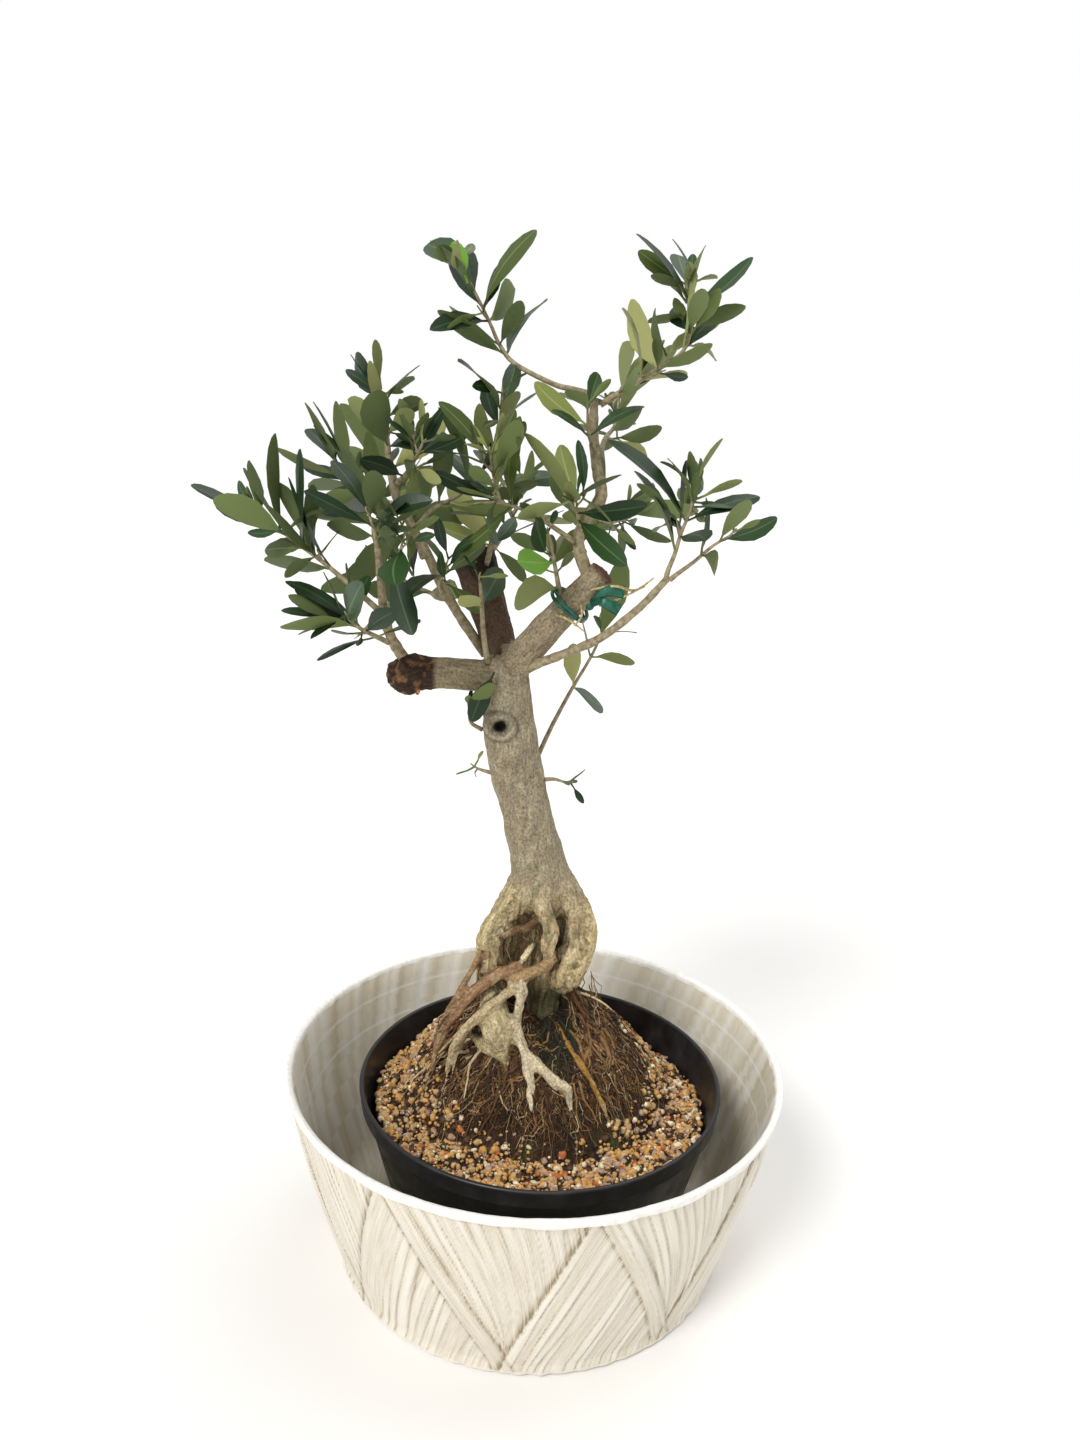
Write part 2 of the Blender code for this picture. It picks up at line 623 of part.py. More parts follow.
def make_trunk():
    """The trunk with its root crown fused on, from a flat cut at the soil to its fork."""
    lobes = gather("trunk_lobes")
    trunk = limb("trunk", TRUNK, 12, 2)
    for name, points in CROWN_LOBES.items():
        limb("trunk_lobe_" + name, points, 8, 2, lobes)
    ball("trunk_scar", SCAR, SCAR_SIZE, lobes)
    join(trunk, lobes)
    weather(trunk, 1.2, 9)
    bm = bmesh.new()
    bm.from_mesh(trunk.data)
    whole = [*bm.verts, *bm.edges, *bm.faces]
    foot = (0, 0, TRUNK_CUT * MM)
    bmesh.ops.bisect_plane(bm, geom=whole, plane_co=foot, plane_no=(0, 0, 1), clear_inner=True)
    bmesh.ops.holes_fill(bm, edges=[edge for edge in bm.edges if edge.is_boundary], sides=0)
    bmesh.ops.recalc_face_normals(bm, faces=bm.faces)
    bm.to_mesh(trunk.data)
    bm.free()
    largest_body(trunk)
    return finish(trunk, BARK, 0.85)


def make_roots(soil, trunk):
    """The roots that run over the mound, each cut clear of trunk and soil."""
    done = []
    for name, runs in ROOTS.items():
        others = gather(name + "_runs")
        root = limb(name, runs[0], 6, 2)
        for index, points in enumerate(runs[1:]):
            limb(f"{name}_{index}", points, 6, 2, others)
        join(root, others)
        cut_clear(root, trunk, soil, *done)
        done.append(finish(root, ROOT_BARK, 0.8))
    return done


def make_limbs(trunk):
    """Boughs, then branches, each cut clear of the wood that it grows from."""
    done = {}
    for name, points in BOUGHS.items():
        bough = limb(name, points, 9, 3)
        if name == "bough_left":
            burl = gather("burl")
            ball("bough_left_burl", BURL, BURL_SIZE, burl)
            join(bough, burl)
        weather(bough, 0.8, 7)
        cut_clear(bough, trunk, *done.values())
        done[name] = finish(bough, BOUGH_BARK, 0.85)
    for name, points in BRANCHES.items():
        branch = limb(name, points, 6, 2)
        cut_clear(branch, trunk, *done.values())
        done[name] = finish(branch, BARK, 0.8)
    return list(done.values())


def make_tie(bough_points, limbs):
    """A soft tie: a ring round the bough with a knot and two tails."""
    path = smooth_path(bough_points, 12)
    index = round(TIE_AT * (len(path) - 1))
    centre = path[index]
    axis = (path[index + 1].xyz - path[index - 1].xyz).normalized()
    side = axis.orthogonal().normalized()
    other = axis.cross(side)
    reach = centre[3] + 1.6 + TIE_RADIUS
    ring = bmesh.new()
    bands = []
    for turn in range(16):
        angle = math.tau * turn / 16
        out = side * math.cos(angle) + other * math.sin(angle)
        band = []
        for corner in range(6):
            tilt = math.tau * corner / 6
            round_it = out * math.cos(tilt) + axis * math.sin(tilt)
            spot = centre.xyz + out * reach + round_it * TIE_RADIUS
            band.append(ring.verts.new(spot * MM))
        bands.append(band)
    for first, second in zip(bands, [*bands[1:], bands[0]]):
        for corner in range(6):
            after = (corner + 1) % 6
            ring.faces.new((first[corner], first[after], second[after], second[corner]))
    tie = link_mesh("tie", ring)
    rest = gather("tie_knot")
    knot = centre.xyz + (axis * 0.2 + Vector((0.75, -0.4, -0.1))).normalized() * reach
    ball("tie_lump", knot, (2.4, 2.2, 2.6), rest)
    for rise in (2.0, -8.0):
        tail = [knot, knot + Vector((5, -2, rise * 0.5)), knot + Vector((13, -2, rise))]
        limb("tie_tail", [(*point, 0.8) for point in tail], 6, 3, rest)
    join(tie, rest)
    cut_clear(tie, *limbs)
    return finish(tie, TIE_GREEN, 0.5)


def along(path, share):
    """Point, direction and steady side vector at a share of a path's length."""
    lengths = [(second - first).length for first, second in zip(path, path[1:])]
    target = share * sum(lengths)
    side = (path[1] - path[0]).orthogonal().normalized()
    for first, second, length in zip(path, path[1:], lengths):
        tangent = (second - first).normalized()
        side = (side - tangent * side.dot(tangent)).normalized()
        if target <= length + 1e-9:
            return first + tangent * target, tangent, side
        target -= length
    return path[-1], tangent, side


Leaf = namedtuple("Leaf", "base along face length width bend")


def leaves_on(shoot):
    """The shoot's leaves: opposite pairs, each turned a quarter from the last and varied by its seed."""
    path = smooth_path(shoot.stem, 4)
    spaces = max(1, len(shoot.seeds) - 1)
    for pair, seed in enumerate(shoot.seeds):
        draw = random.Random(seed)
        part = (pair + draw.uniform(-0.4, 0.2)) / spaces
        base, tangent, side = along(path, min(1.0, shoot.first + (1 - shoot.first) * part))
        turn = shoot.roll + 90 * pair + draw.uniform(-30, 30)
        for half in (0, 180):
            angle = math.radians(turn + half + draw.uniform(-20, 20))
            spread = math.radians(draw.uniform(25, 88) * (1 - 0.3 * max(0.0, part)))
            length = shoot.leaf * draw.uniform(0.65, 1.28)
            width = length * draw.uniform(*LEAF_SLENDER)
            twist = math.radians(draw.uniform(-80, 80))
            bend = draw.uniform(-0.25, 0.55)
            out = side * math.cos(angle) + tangent.cross(side) * math.sin(angle)
            heading = tangent * math.cos(spread) + out * math.sin(spread)
            face = (tangent - heading * tangent.dot(heading)).normalized()
            face = Matrix.Rotation(twist, 3, heading) @ face
            yield Leaf(base, heading, face, length, width, bend)


def leaf_point(leaf, across, distance, lift):
    """Where a point of the flat leaf lands once it is bent and set on its stem."""
    blade = max(0.0, distance - PETIOLE) / leaf.length
    sag = leaf.bend * leaf.length * blade**2 / 2
    sideways = leaf.along.cross(leaf.face)
    return leaf.base + sideways * across + leaf.along * distance + leaf.face * (lift - sag)


def leaf_mesh(bm, leaf, swell=0.0):
    """A thin closed blade, three-cornered in section, on a short stalk."""
    rings = [(0.0, PETIOLE_RADIUS, PETIOLE_RADIUS)]
    for share, wide in LEAF_SHAPE:
        rings.append((PETIOLE + share * leaf.length, wide * leaf.width, LEAF_THICK))
    corners = []
    for distance, wide, deep in rings:
        wide += swell
        deep += swell
        section = ((-wide, 0.14 * wide + swell), (wide, 0.14 * wide + swell), (0.0, -deep))
        corners.append([bm.verts.new(leaf_point(leaf, x, distance, z) * MM) for x, z in section])
    tip = bm.verts.new(leaf_point(leaf, 0.0, PETIOLE + leaf.length + swell, 0.0) * MM)
    for first, second in zip(corners, corners[1:]):
        for corner in range(3):
            after = (corner + 1) % 3
            bm.faces.new((first[corner], first[after], second[after], second[corner]))
    for corner in range(3):
        bm.faces.new((corners[-1][corner], corners[-1][(corner + 1) % 3], tip))
    bm.faces.new(corners[0])


def stem_path(shoot):
    """The stem's points with its radius, in metres."""
    path = smooth_path(shoot.stem, 2)
    start, end = shoot.thick
    step = (end - start) / (len(path) - 1)
    return [Vector((*point, start + step * index)) * MM for index, point in enumerate(path)]


def touches(bm, obstacles):
    tree = BVHTree.FromBMesh(bm)
    return any(tree.overlap(obstacle) for obstacle in obstacles)


def make_masses(limbs):
    """Every mass of foliage, with the leaves that would touch a limb or another mass left off."""
    solids = []
    for obj in limbs:
        bm = read_mesh(obj)
        solids.append(BVHTree.FromBMesh(bm))
        bm.free()
    stems = {}
    for name, shoots in MASSES.items():
        bm = bmesh.new()
        for shoot in shoots:
            tube(bm, stem_path(shoot), 3, GAP)
        stems[name] = BVHTree.FromBMesh(bm)
        bm.free()
    kept = []
    masses = []
    for name, shoots in MASSES.items():
        obstacles = [*solids, *(tree for other, tree in stems.items() if other != name), *kept]
        parts = gather(name + "_parts")
        stem = bmesh.new()
        tube(stem, stem_path(shoots[0]), 3)
        mass = link_mesh(name, stem)
        for shoot in shoots[1:]:
            stem = bmesh.new()
            tube(stem, stem_path(shoot), 3)
            link_mesh(name + "_stem", stem, parts)
        grown = bmesh.new()
        for leaf in (leaf for shoot in shoots for leaf in leaves_on(shoot)):
            room = bmesh.new()
            leaf_mesh(room, leaf, 0.45)
            if not touches(room, obstacles):
                blade = bmesh.new()
                leaf_mesh(blade, leaf)
                link_mesh(name + "_leaf", blade, parts)
                leaf_mesh(grown, leaf, 0.45)
            room.free()
        if grown.faces:
            kept.append(BVHTree.FromBMesh(grown))
        grown.free()
        join(mass, parts, "MANIFOLD")
        near = [obj for obj in limbs if near_stem(obj, shoots[0])]
        cut_clear(mass, *near)
        masses.append(finish(mass, LEAF, 0.5, 30))
    return masses


def near_stem(obj, shoot):
    """Whether the foot of a mass's stem comes near this limb."""
    foot = Vector(shoot.stem[0]) * MM
    return (obj.closest_point_on_mesh(foot)[1] - foot).length < 9 * MM


def main():
    for obj in list(bpy.data.objects):
        bpy.data.objects.remove(obj, do_unlink=True)
    make_cover_pot()
    make_nursery_pot()
    trunk = make_trunk()
    soil = make_soil(trunk)
    roots = make_roots(soil, trunk)
    limbs = make_limbs(trunk)
    tie = make_tie(BOUGHS["bough_right"], limbs)
    make_masses([trunk, tie, *roots, *limbs])


if __name__ == "__main__":
    main()
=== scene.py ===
"""The looks of the potted olive tree: bark and root crown, twigs and leaves, gritty soil with surface roots, the
plastic nursery pot, and the pleated cover pot round it.

Metres, +Z up, in the frame's own place. Tables of places and radii are in millimetres and pass through MM.
"""

import math
import random
from collections import namedtuple

import bmesh
import bpy
import numpy as np
from mathutils import Matrix, Vector, noise
from mathutils.bvhtree import BVHTree
from mathutils.kdtree import KDTree


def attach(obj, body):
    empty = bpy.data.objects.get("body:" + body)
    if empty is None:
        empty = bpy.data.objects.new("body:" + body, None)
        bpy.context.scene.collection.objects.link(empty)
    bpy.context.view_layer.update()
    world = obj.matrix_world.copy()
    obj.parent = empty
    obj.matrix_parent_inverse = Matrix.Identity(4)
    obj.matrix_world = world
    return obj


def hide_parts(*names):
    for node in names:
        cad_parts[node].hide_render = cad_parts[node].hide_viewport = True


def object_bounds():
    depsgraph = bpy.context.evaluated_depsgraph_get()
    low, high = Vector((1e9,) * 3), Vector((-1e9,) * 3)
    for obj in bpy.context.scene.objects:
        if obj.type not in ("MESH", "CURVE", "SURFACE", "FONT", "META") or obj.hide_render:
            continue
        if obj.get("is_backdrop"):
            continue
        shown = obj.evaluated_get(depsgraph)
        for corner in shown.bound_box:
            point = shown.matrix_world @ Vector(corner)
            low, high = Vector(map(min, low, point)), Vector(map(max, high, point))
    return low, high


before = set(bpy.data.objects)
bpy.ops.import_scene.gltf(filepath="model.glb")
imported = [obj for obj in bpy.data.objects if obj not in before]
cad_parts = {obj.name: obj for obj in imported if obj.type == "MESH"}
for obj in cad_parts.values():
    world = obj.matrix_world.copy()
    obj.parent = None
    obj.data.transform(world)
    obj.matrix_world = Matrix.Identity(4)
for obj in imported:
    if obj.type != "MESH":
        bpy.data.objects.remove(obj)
cad_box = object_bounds()

MM = 0.001

# Cover pot.
COVER_HEIGHT = 103.4
COVER_TOP_RADIUS = 125.0
COVER_FOOT_RADIUS = 98.6
COVER_BOW = 2.4
COVER_WALL = 4.2
COVER_FLOOR = 4.0
COVER_PANELS = 8
COVER_STEPS = 880
COVER_RINGS = 76
COVER_DEEP = 2.9  # how far the deepest crease lies in from the pot's outline
HEM = 4.6  # height of the folded hem at the rim
# The folds, in degrees round the pot: where the first lap starts at the foot, how far its edge and the band's lean
# on the way to the rim, half the band's width, and the pleats in a degree.
LAP_START = -7
LAP_LEAN = 20
BAND_LEAN = 25
BAND_HALF = 2.6
PLEATS = 0.36

# Nursery pot and soil.
NURSERY_X = 3.0
NURSERY_Y = -5.0
NURSERY_RADIUS = 90.8
NURSERY_RIM = 94.2
NURSERY_BAND = 9.0
NURSERY_FOOT_RADIUS = 67.0
NURSERY_WALL = 1.7
NURSERY_LIP = 1.2
SOIL_LEVEL = 81.0
SOIL_TILT = 4.0
SOIL_LOW_SIDE = 35.0
MOUND_X = 0.0
MOUND_Y = 10.0
MOUND_RADIUS = 70.0
MOUND_FLAT = 22.0
MOUND_TOP = 129.0
MOUND_DOME = 0.75
SOIL_ROUGH = 2.2
SOIL_LUMP = 9.0
BED_SINK = 1.7  # how far the fine soil lies below the tops of the grit

# The photograph's camera.
CAMERA_AT = (-0.004, -0.492, 0.407)
CAMERA_PITCH = 14.7
CAMERA_ROLL = 2.2
FOCAL_PIXELS = 1082
IMAGE_HEIGHT = 1440
SENSOR = 36.0

# Foliage: the stems and seeds of the source's masses.
PETIOLE = 4.0
LEAF_SLENDER = (0.16, 0.225)
# Each shoot: the stem's points, its radii, where leaves start, their length, the first pair's roll, the seeds.
Shoot = namedtuple("Shoot", "stem thick first leaf roll seeds")
MASSES = {
    "leaves_top_left": [(((14, -4, 425), (5, -3, 427), (-4, -2, 429), (-21, 2, 437), (-28, 4, 445), (-32, 4, 453),
        (-38, 4, 464), (-45, 2, 476)), (1.4, 0.5), 0.50, 34, 0, (2712, 2753, 2595, 2090, 1589, 3211))],
    "leaves_top_right": [(((17, -4, 421), (29, -2, 429), (43, 2, 438), (52, 4, 445), (55, 6, 455), (55, 8, 472)),
        (1.4, 0.5), 0.18, 33, 150, (597, 250, 3146, 2172, 1526, 556, 1351))],
    "leaves_fork": [(((15, -10, 402), (12, -14, 409), (11, -16, 419)), (1.0, 0.5), 0.35, 27, 0, (2626, 958, 35))],
    "leaves_middle": [(((-34, 23, 340), (-30, 12, 356), (-28, 6, 371), (-27, 2, 400), (-26, 0, 423)), (1.5, 0.6),
        0.30, 27, 0, (2682, 1828, 110, 705, 2218))],
    "leaves_inner": [(((8, -15, 363), (-3, -18, 370), (-11, -22, 375), (-24, -26, 379), (-30, -28, 379)),
        (1.2, 0.5), 0.48, 31, 0, (291, 3097, 183)), (((-24, -26, 379), (-27, -27, 388), (-29, -27, 398)),
        (0.8, 0.5), 0.40, 30, 0, (1519, 1095, 3077))],
    "leaves_spur": [(((3, -12, 338), (0, -16, 352), (-3, -17, 365)), (1.3, 0.5), 0.30, 28, 150, (1566, 395, 3027))],
    "leaves_elbow": [(((11, -14, 368), (9, -19, 373), (8, -22, 380)), (1.0, 0.5), 0.55, 30, 60, (2318, 3129, 105))],
    "leaves_right_up": [(((47.2, -31.6, 350), (47.8, -32, 354), (50, -33, 361), (52, -34, 370), (55, -34, 379),
        (56, -34, 387)), (1.2, 0.5), 0.30, 33, 120, (1609, 1297, 2218, 2728))],
    "leaves_right_out": [(((48.8, -32.2, 350), (52, -33, 353), (58, -34, 358), (65, -36, 365), (72, -37, 370)),
        (1.2, 0.5), 0.45, 30, 150, (1200, 3027))],
    "leaves_right_back": [(((-5, 9, 256), (2, 17, 271), (11, 24, 288), (19, 28, 302), (24, 30, 313)), (1.2, 0.6),
        0.62, 30, 30, (2654, 2398, 312))],
    "leaves_front": [(((-29, -7, 306), (-31, -12, 321), (-32, -14, 336), (-33, -14, 344)), (1.5, 0.6),
        0.70, 27, 30, (3138,))],
    "leaves_left_top": [(((-74, -10, 395), (-75, -10, 407), (-76, -10, 419)), (1.5, 0.6),
        0.25, 29, 30, (887, 896, 3018, 77))],
    "leaves_left_back": [(((-70, -5, 375), (-80, 4, 377), (-93, 10, 383), (-101, 12, 392)), (1.2, 0.5),
        0.42, 28, 90, (2968, 1239, 2526, 164, 3361))],
    "leaves_riser": [(((-76, -28, 356), (-77, -29, 364), (-79, -30, 372)), (1.2, 0.6),
        0.20, 30, 150, (428, 1304, 2223, 3252))],
    "leaves_left_long": [(((-77, -22, 331), (-90, -18, 341), (-104, -14, 351), (-114, -11, 357), (-130, -8, 368)),
        (1.5, 0.6), 0.45, 35, 120, (2808, 788, 1204, 3461, 3048, 3277))],
    "leaves_left_low": [(((-73, -15, 315), (-79, -20, 319), (-85, -24, 323), (-89, -26, 327)), (1.3, 0.6),
        0.40, 34, 120, (570, 1319, 2813, 785))],
    "leaves_left_centre": [(((-63, -4, 365), (-55, -6, 374), (-44, -7, 380), (-37, -7, 386)), (1.2, 0.5),
        0.40, 28, 150, (2593, 1760, 3149))],
    "leaves_lead_low": [(((-51, 2, 336), (-52, -5, 341), (-49, -12, 346)), (1.2, 0.6), 0.60, 30, 60, (514, 2060))],
    "sprig_trunk_left": [(((-31, -3, 273), (-36, -6, 277), (-37, -8, 283)), (1.1, 0.6), 1.0, 20, 90, (1595,))],
    "sprig_trunk_low": [(((-26, 0, 251), (-30, 0, 252), (-33, 0, 253)), (1.1, 0.6), 1.0, 12, 90, (1678,))],
    "sprig_trunk_right": [(((-1, -1, 249), (4, -3, 250), (9, -4, 249)), (1.1, 0.6), 1.0, 15, 150, (3330,))],
    "leaves_back_left": [(((-60, 0, 352), (-66, 20, 360), (-76, 40, 372), (-82, 56, 388)), (1.4, 0.6),
        0.38, 33, 0, (168, 757, 328, 842, 525))],
    "leaves_back_middle": [(((-37, 36, 344), (-30, 52, 352), (-22, 66, 366), (-18, 74, 384)), (1.4, 0.6),
        0.30, 33, 90, (679, 1109, 988, 218, 132))],
    "leaves_back_top": [(((18, -6, 398), (20, 12, 406), (26, 32, 414), (28, 50, 428)), (1.4, 0.6),
        0.34, 32, 135, (707, 973, 531, 977, 505))],
    "leaves_back_right": [(((16, -9, 374), (22, 8, 371), (28, 28, 369), (33, 46, 372)), (1.4, 0.6),
        0.34, 30, 45, (31, 849, 46, 158, 392))],
    "leaves_left_inner": [(((-75, -28, 345), (-69, -37, 352), (-63, -45, 361)), (1.2, 0.6),
        0.35, 30, 135, (51, 579, 523, 167))],
    "leaves_left_high": [(((-71, -9, 384), (-64, -18, 391), (-58, -25, 401)), (1.2, 0.6),
        0.35, 29, 0, (418, 617, 739, 926))],
    "leaves_left_rear": [(((-62, 0, 362), (-74, 14, 364), (-86, 24, 370), (-94, 34, 380)), (1.3, 0.6),
        0.32, 31, 135, (758, 206, 617, 963, 553))],
    "leaves_left_under": [(((-47, 8, 332), (-58, 14, 334), (-70, 20, 338), (-80, 30, 344)), (1.3, 0.6),
        0.35, 30, 45, (223, 516, 345, 327))],
}
MASSES = {name: tuple(Shoot(*row) for row in rows) for name, rows in MASSES.items()}

BRANCHES = {
    "branch_upper": (
        (16, -13, 346, 3.0), (11, -13, 357, 2.9), (10, -12, 366, 2.5), (14, -11, 375, 2.5), (19, -10, 383, 2.8),
        (16, -8, 397, 2.3), (14.5, -5, 411, 2.1), (14, -4, 423, 1.9),
    ),
    "branch_right": (
        (-15, -3, 300, 2.4), (-6, -10, 307, 2.2), (4, -14, 312, 2.0), (21, -22, 322, 1.9), (37, -28, 337, 1.7),
        (48, -32, 351, 1.5),
    ),
    "branch_lead": (
        (-31, 12, 306, 2.4), (-43, 8, 324, 2.3), (-51, 4, 338, 2.2), (-58, 0, 354, 2.1), (-65, -4, 367, 2.0),
        (-71, -8, 379, 1.9), (-74, -10, 397, 1.6),
    ),
    "branch_riser": (
        (-66, -8, 305, 2.8), (-72, -14, 317, 2.3), (-74, -22, 329, 2.0), (-75, -26, 344, 1.7), (-76, -28, 358, 1.3),
    ),
}
WOOD = ("trunk", "bough_left", "bough_back", "bough_right")
ROOTS = ("root_knob", "root_forked", "root_cross", "root_diagonal", "root_left", "root_right", "root_back")

# Leaf tones: upper side, underside. Each mass draws from its own mix of them.
TONES = {
    "dark": ("#1A3117", "#5C6A40"),
    "green": ("#28451F", "#6F7D4A"),
    "olive": ("#4A5A28", "#828A55"),
    "pale": ("#858E4A", "#A0A268"),
    "new": ("#72A838", "#96B258"),
}
MIDRIBS = {"dark": "#3A5430", "green": "#4E683A", "olive": "#707C44", "pale": "#A0A668", "new": "#90B858"}
MIXES = {"dark": (8, 4, 1, 0, 0), "mixed": (5, 4, 2, 1, 0), "light": (4, 4, 4, 2.5, 0.1)}
LIGHT_MASSES = ("leaves_inner", "leaves_spur", "leaves_elbow", "leaves_top_right", "leaves_fork", "leaves_middle")
DARK_MASSES = ("leaves_left_long", "leaves_left_low", "leaves_riser", "leaves_left_back", "leaves_left_inner",
               "leaves_left_centre")


def linear(text):
    """An sRGB hex colour as linear red, green, blue and alpha."""
    parts = [int(text[place:place + 2], 16) / 255 for place in (1, 3, 5)]
    return (*(part / 12.92 if part <= 0.04045 else ((part + 0.055) / 1.055) ** 2.4 for part in parts), 1.0)


def add(tree, kind, values=None, links=None, stops=None, **settings):
    """One shader node with its settings, input values, links and, on a ramp, its stops."""
    node = tree.nodes.new("ShaderNode" + kind)
    for name, value in settings.items():
        setattr(node, name, value)
    for name, value in (values or {}).items():
        node.inputs[name].default_value = value
    for name, source in (links or {}).items():
        tree.links.new(source, node.inputs[name])
    for index, (place, colour) in enumerate(stops or ()):
        ramp = node.color_ramp.elements
        stop = ramp[index] if index < 2 else ramp.new(place)
        stop.position = place
        stop.color = linear(colour)
    return node


def surface(name, colour, roughness, **sockets):
    """A new material, its node tree and its shader with plain values set."""
    material = bpy.data.materials.new(name)
    material.use_nodes = True
    tree = material.node_tree
    shader = tree.nodes["Principled BSDF"]
    shader.inputs["Base Color"].default_value = linear(colour)
    shader.inputs["Roughness"].default_value = roughness
    for socket, value in sockets.items():
        shader.inputs[socket.replace("_", " ")].default_value = value
    material.diffuse_color = linear(colour)
    return material, tree, shader


def speckled(name, colour, roughness, scale, detail, grain=0.5, stops=None, shade=None, bump=None, **sockets):
    """A material with one noise in the object's own coordinates.

    The noise picks from a ramp of colours, or shades the plain colour between two strengths, and lifts the surface
    by bump, a strength and a distance. Returns what surface returns, the noise and the colour's socket.
    """
    material, tree, shader = surface(name, colour, roughness, **sockets)
    place = add(tree, "TexCoord").outputs["Object"]
    values = {"Scale": scale, "Detail": detail, "Roughness": grain}
    fleck = add(tree, "TexNoise", values, {"Vector": place}).outputs["Fac"]
    tone = None
    if stops:
        tone = add(tree, "ValToRGB", {}, {"Fac": fleck}, stops=stops).outputs[0]
    if shade:
        level = mapped(tree, fleck, 0.3, 0.7, *shade)
        tone = add(tree, "VectorMath", {0: linear(colour)[:3]}, {1: level}, operation="MULTIPLY").outputs[0]
    wire(tree, shader, tone, fleck if bump else None, *(bump or ()))
    return material, tree, shader, fleck, tone


def mapped(tree, value, from_low, from_high, to_low, to_high):
    """A value moved from one range to another."""
    values = {"From Min": from_low, "From Max": from_high, "To Min": to_low, "To Max": to_high}
    return add(tree, "MapRange", values, {"Value": value}).outputs[0]


def wire(tree, shader, colour, height=None, strength=0.0, distance=0.0):
    """Feeds the shader its colour and, through a bump node, its relief."""
    if colour is not None:
        tree.links.new(colour, shader.inputs["Base Color"])
    if height is not None:
        bump = add(tree, "Bump", {"Strength": strength, "Distance": distance}, {"Height": height})
        tree.links.new(bump.outputs[0], shader.inputs["Normal"])


def link_mesh(name, bm, *materials):
    """Turns a bmesh into an object with its materials."""
    mesh = bpy.data.meshes.new(name)
    bm.to_mesh(mesh)
    bm.free()
    return link_object(mesh, *materials)


def link_object(mesh, *materials):
    """An object in the scene, named after its smooth mesh."""
    for material in materials:
        mesh.materials.append(material)
    mesh.shade_smooth()
    obj = bpy.data.objects.new(mesh.name, mesh)
    bpy.context.scene.collection.objects.link(obj)
    return obj


def settle(obj, slot, *nodes):
    """The piece rides on the part's one body and stands for the nodes. The slot is not used."""
    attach(obj, "root")
    if nodes:
        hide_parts(*nodes)
    return obj


def smooth_path(points, spans):
    """A Catmull-Rom curve through points of any size, with spans steps from each to the next."""
    points = [Vector(point) for point in points]
    guides = [points[0] * 2 - points[1], *points, points[-1] * 2 - points[-2]]
    path = []
    for a, b, c, d in zip(guides, guides[1:], guides[2:], guides[3:]):
        for step in range(spans):
            t = step / spans
            path.append(
                (b * 2 + (c - a) * t + (a * 2 - b * 5 + c * 4 - d) * t**2 + (b * 3 - a - c * 3 + d) * t**3) / 2
            )
    return [*path, points[-1]]


def skin_rings(bm, rings):
    """Faces between rings of points, closed at both ends."""
    faces = []
    for first, second in zip(rings, rings[1:]):
        for corner in range(len(first)):
            after = (corner + 1) % len(first)
            faces.append(bm.faces.new((first[corner], first[after], second[after], second[corner])))
    return [*faces, bm.faces.new(list(reversed(rings[0]))), bm.faces.new(rings[-1])]


def tangents(path):
    """The direction of a path at each of its points."""
    last = len(path) - 1
    return [(path[min(i + 1, last)].xyz - path[max(i - 1, 0)].xyz).normalized() for i in range(last + 1)]


def tube(bm, path, sides, swell=0.0, material=0):
    """A closed tapering tube. Each point of path is x, y, z, radius in metres."""
    side = None
    rings = []
    for point, tangent in zip(path, tangents(path)):
        side = tangent.orthogonal() if side is None else side - tangent * side.dot(tangent)
        side.normalize()
        other = tangent.cross(side)
        ring = []
        for corner in range(sides):
            angle = math.tau * corner / sides
            reach = (side * math.cos(angle) + other * math.sin(angle)) * (point[3] + swell)
            ring.append(bm.verts.new(point.xyz + reach))
        rings.append(ring)
    for face in skin_rings(bm, rings):
        face.material_index = material


def turned(profile, steps, shape=None):
    """Spins a closed profile of (radius, height) in millimetres round Z, then moves its points by shape."""
    bm = bmesh.new()
    verts = [bm.verts.new((radius * MM, 0, height * MM)) for radius, height in profile]
    for first, second in zip(verts, verts[1:]):
        bm.edges.new((first, second))
    bmesh.ops.spin(
        bm, geom=[*bm.verts, *bm.edges], cent=(0, 0, 0), axis=(0, 0, 1), angle=math.tau, steps=steps, use_merge=True
    )
    bmesh.ops.remove_doubles(bm, verts=bm.verts, dist=0.000005)
    bmesh.ops.recalc_face_normals(bm, faces=bm.faces)
    if shape is not None:
        for vert in bm.verts:
            vert.co = shape(vert.co / MM) * MM
    return bm


def mesh_arrays(bm):
    """A bmesh's points and its triangles as arrays."""
    bmesh.ops.triangulate(bm, faces=bm.faces)
    points = np.array([vert.co[:] for vert in bm.verts])
    faces = np.array([[vert.index for vert in face.verts] for face in bm.faces])
    return points, faces


def scatter(name, template, places, material):
    """One joined mesh of many copies of a template. Each place is a matrix."""
    points, faces = template
    copies = np.einsum("nij,pj->npi", places[:, :3, :3], points) + places[:, None, :3, 3]
    shift = np.arange(len(places))[:, None, None] * len(points)
    mesh = bpy.data.meshes.new(name)
    mesh.from_pydata(copies.reshape(-1, 3), [], (faces[None] + shift).reshape(-1, 3))
    return link_object(mesh, material)


# Cover pot

def cover_radius(height):
    """Outer radius of the cover pot at a height, without its folds."""
    t = height / COVER_HEIGHT
    return COVER_FOOT_RADIUS + (COVER_TOP_RADIUS - COVER_FOOT_RADIUS) * t + COVER_BOW * math.sin(math.pi * t)


def rough_at(x, y, z):
    """Smooth noise from about -1 to 1 at a place."""
    return noise.noise(Vector((x, y, z)))


def smooth_step(value, low, high):
    """0 below low, 1 above high and a soft rise between them."""
    share = min(1.0, max(0.0, (value - low) / (high - low)))
    return share * share * (3 - 2 * share)


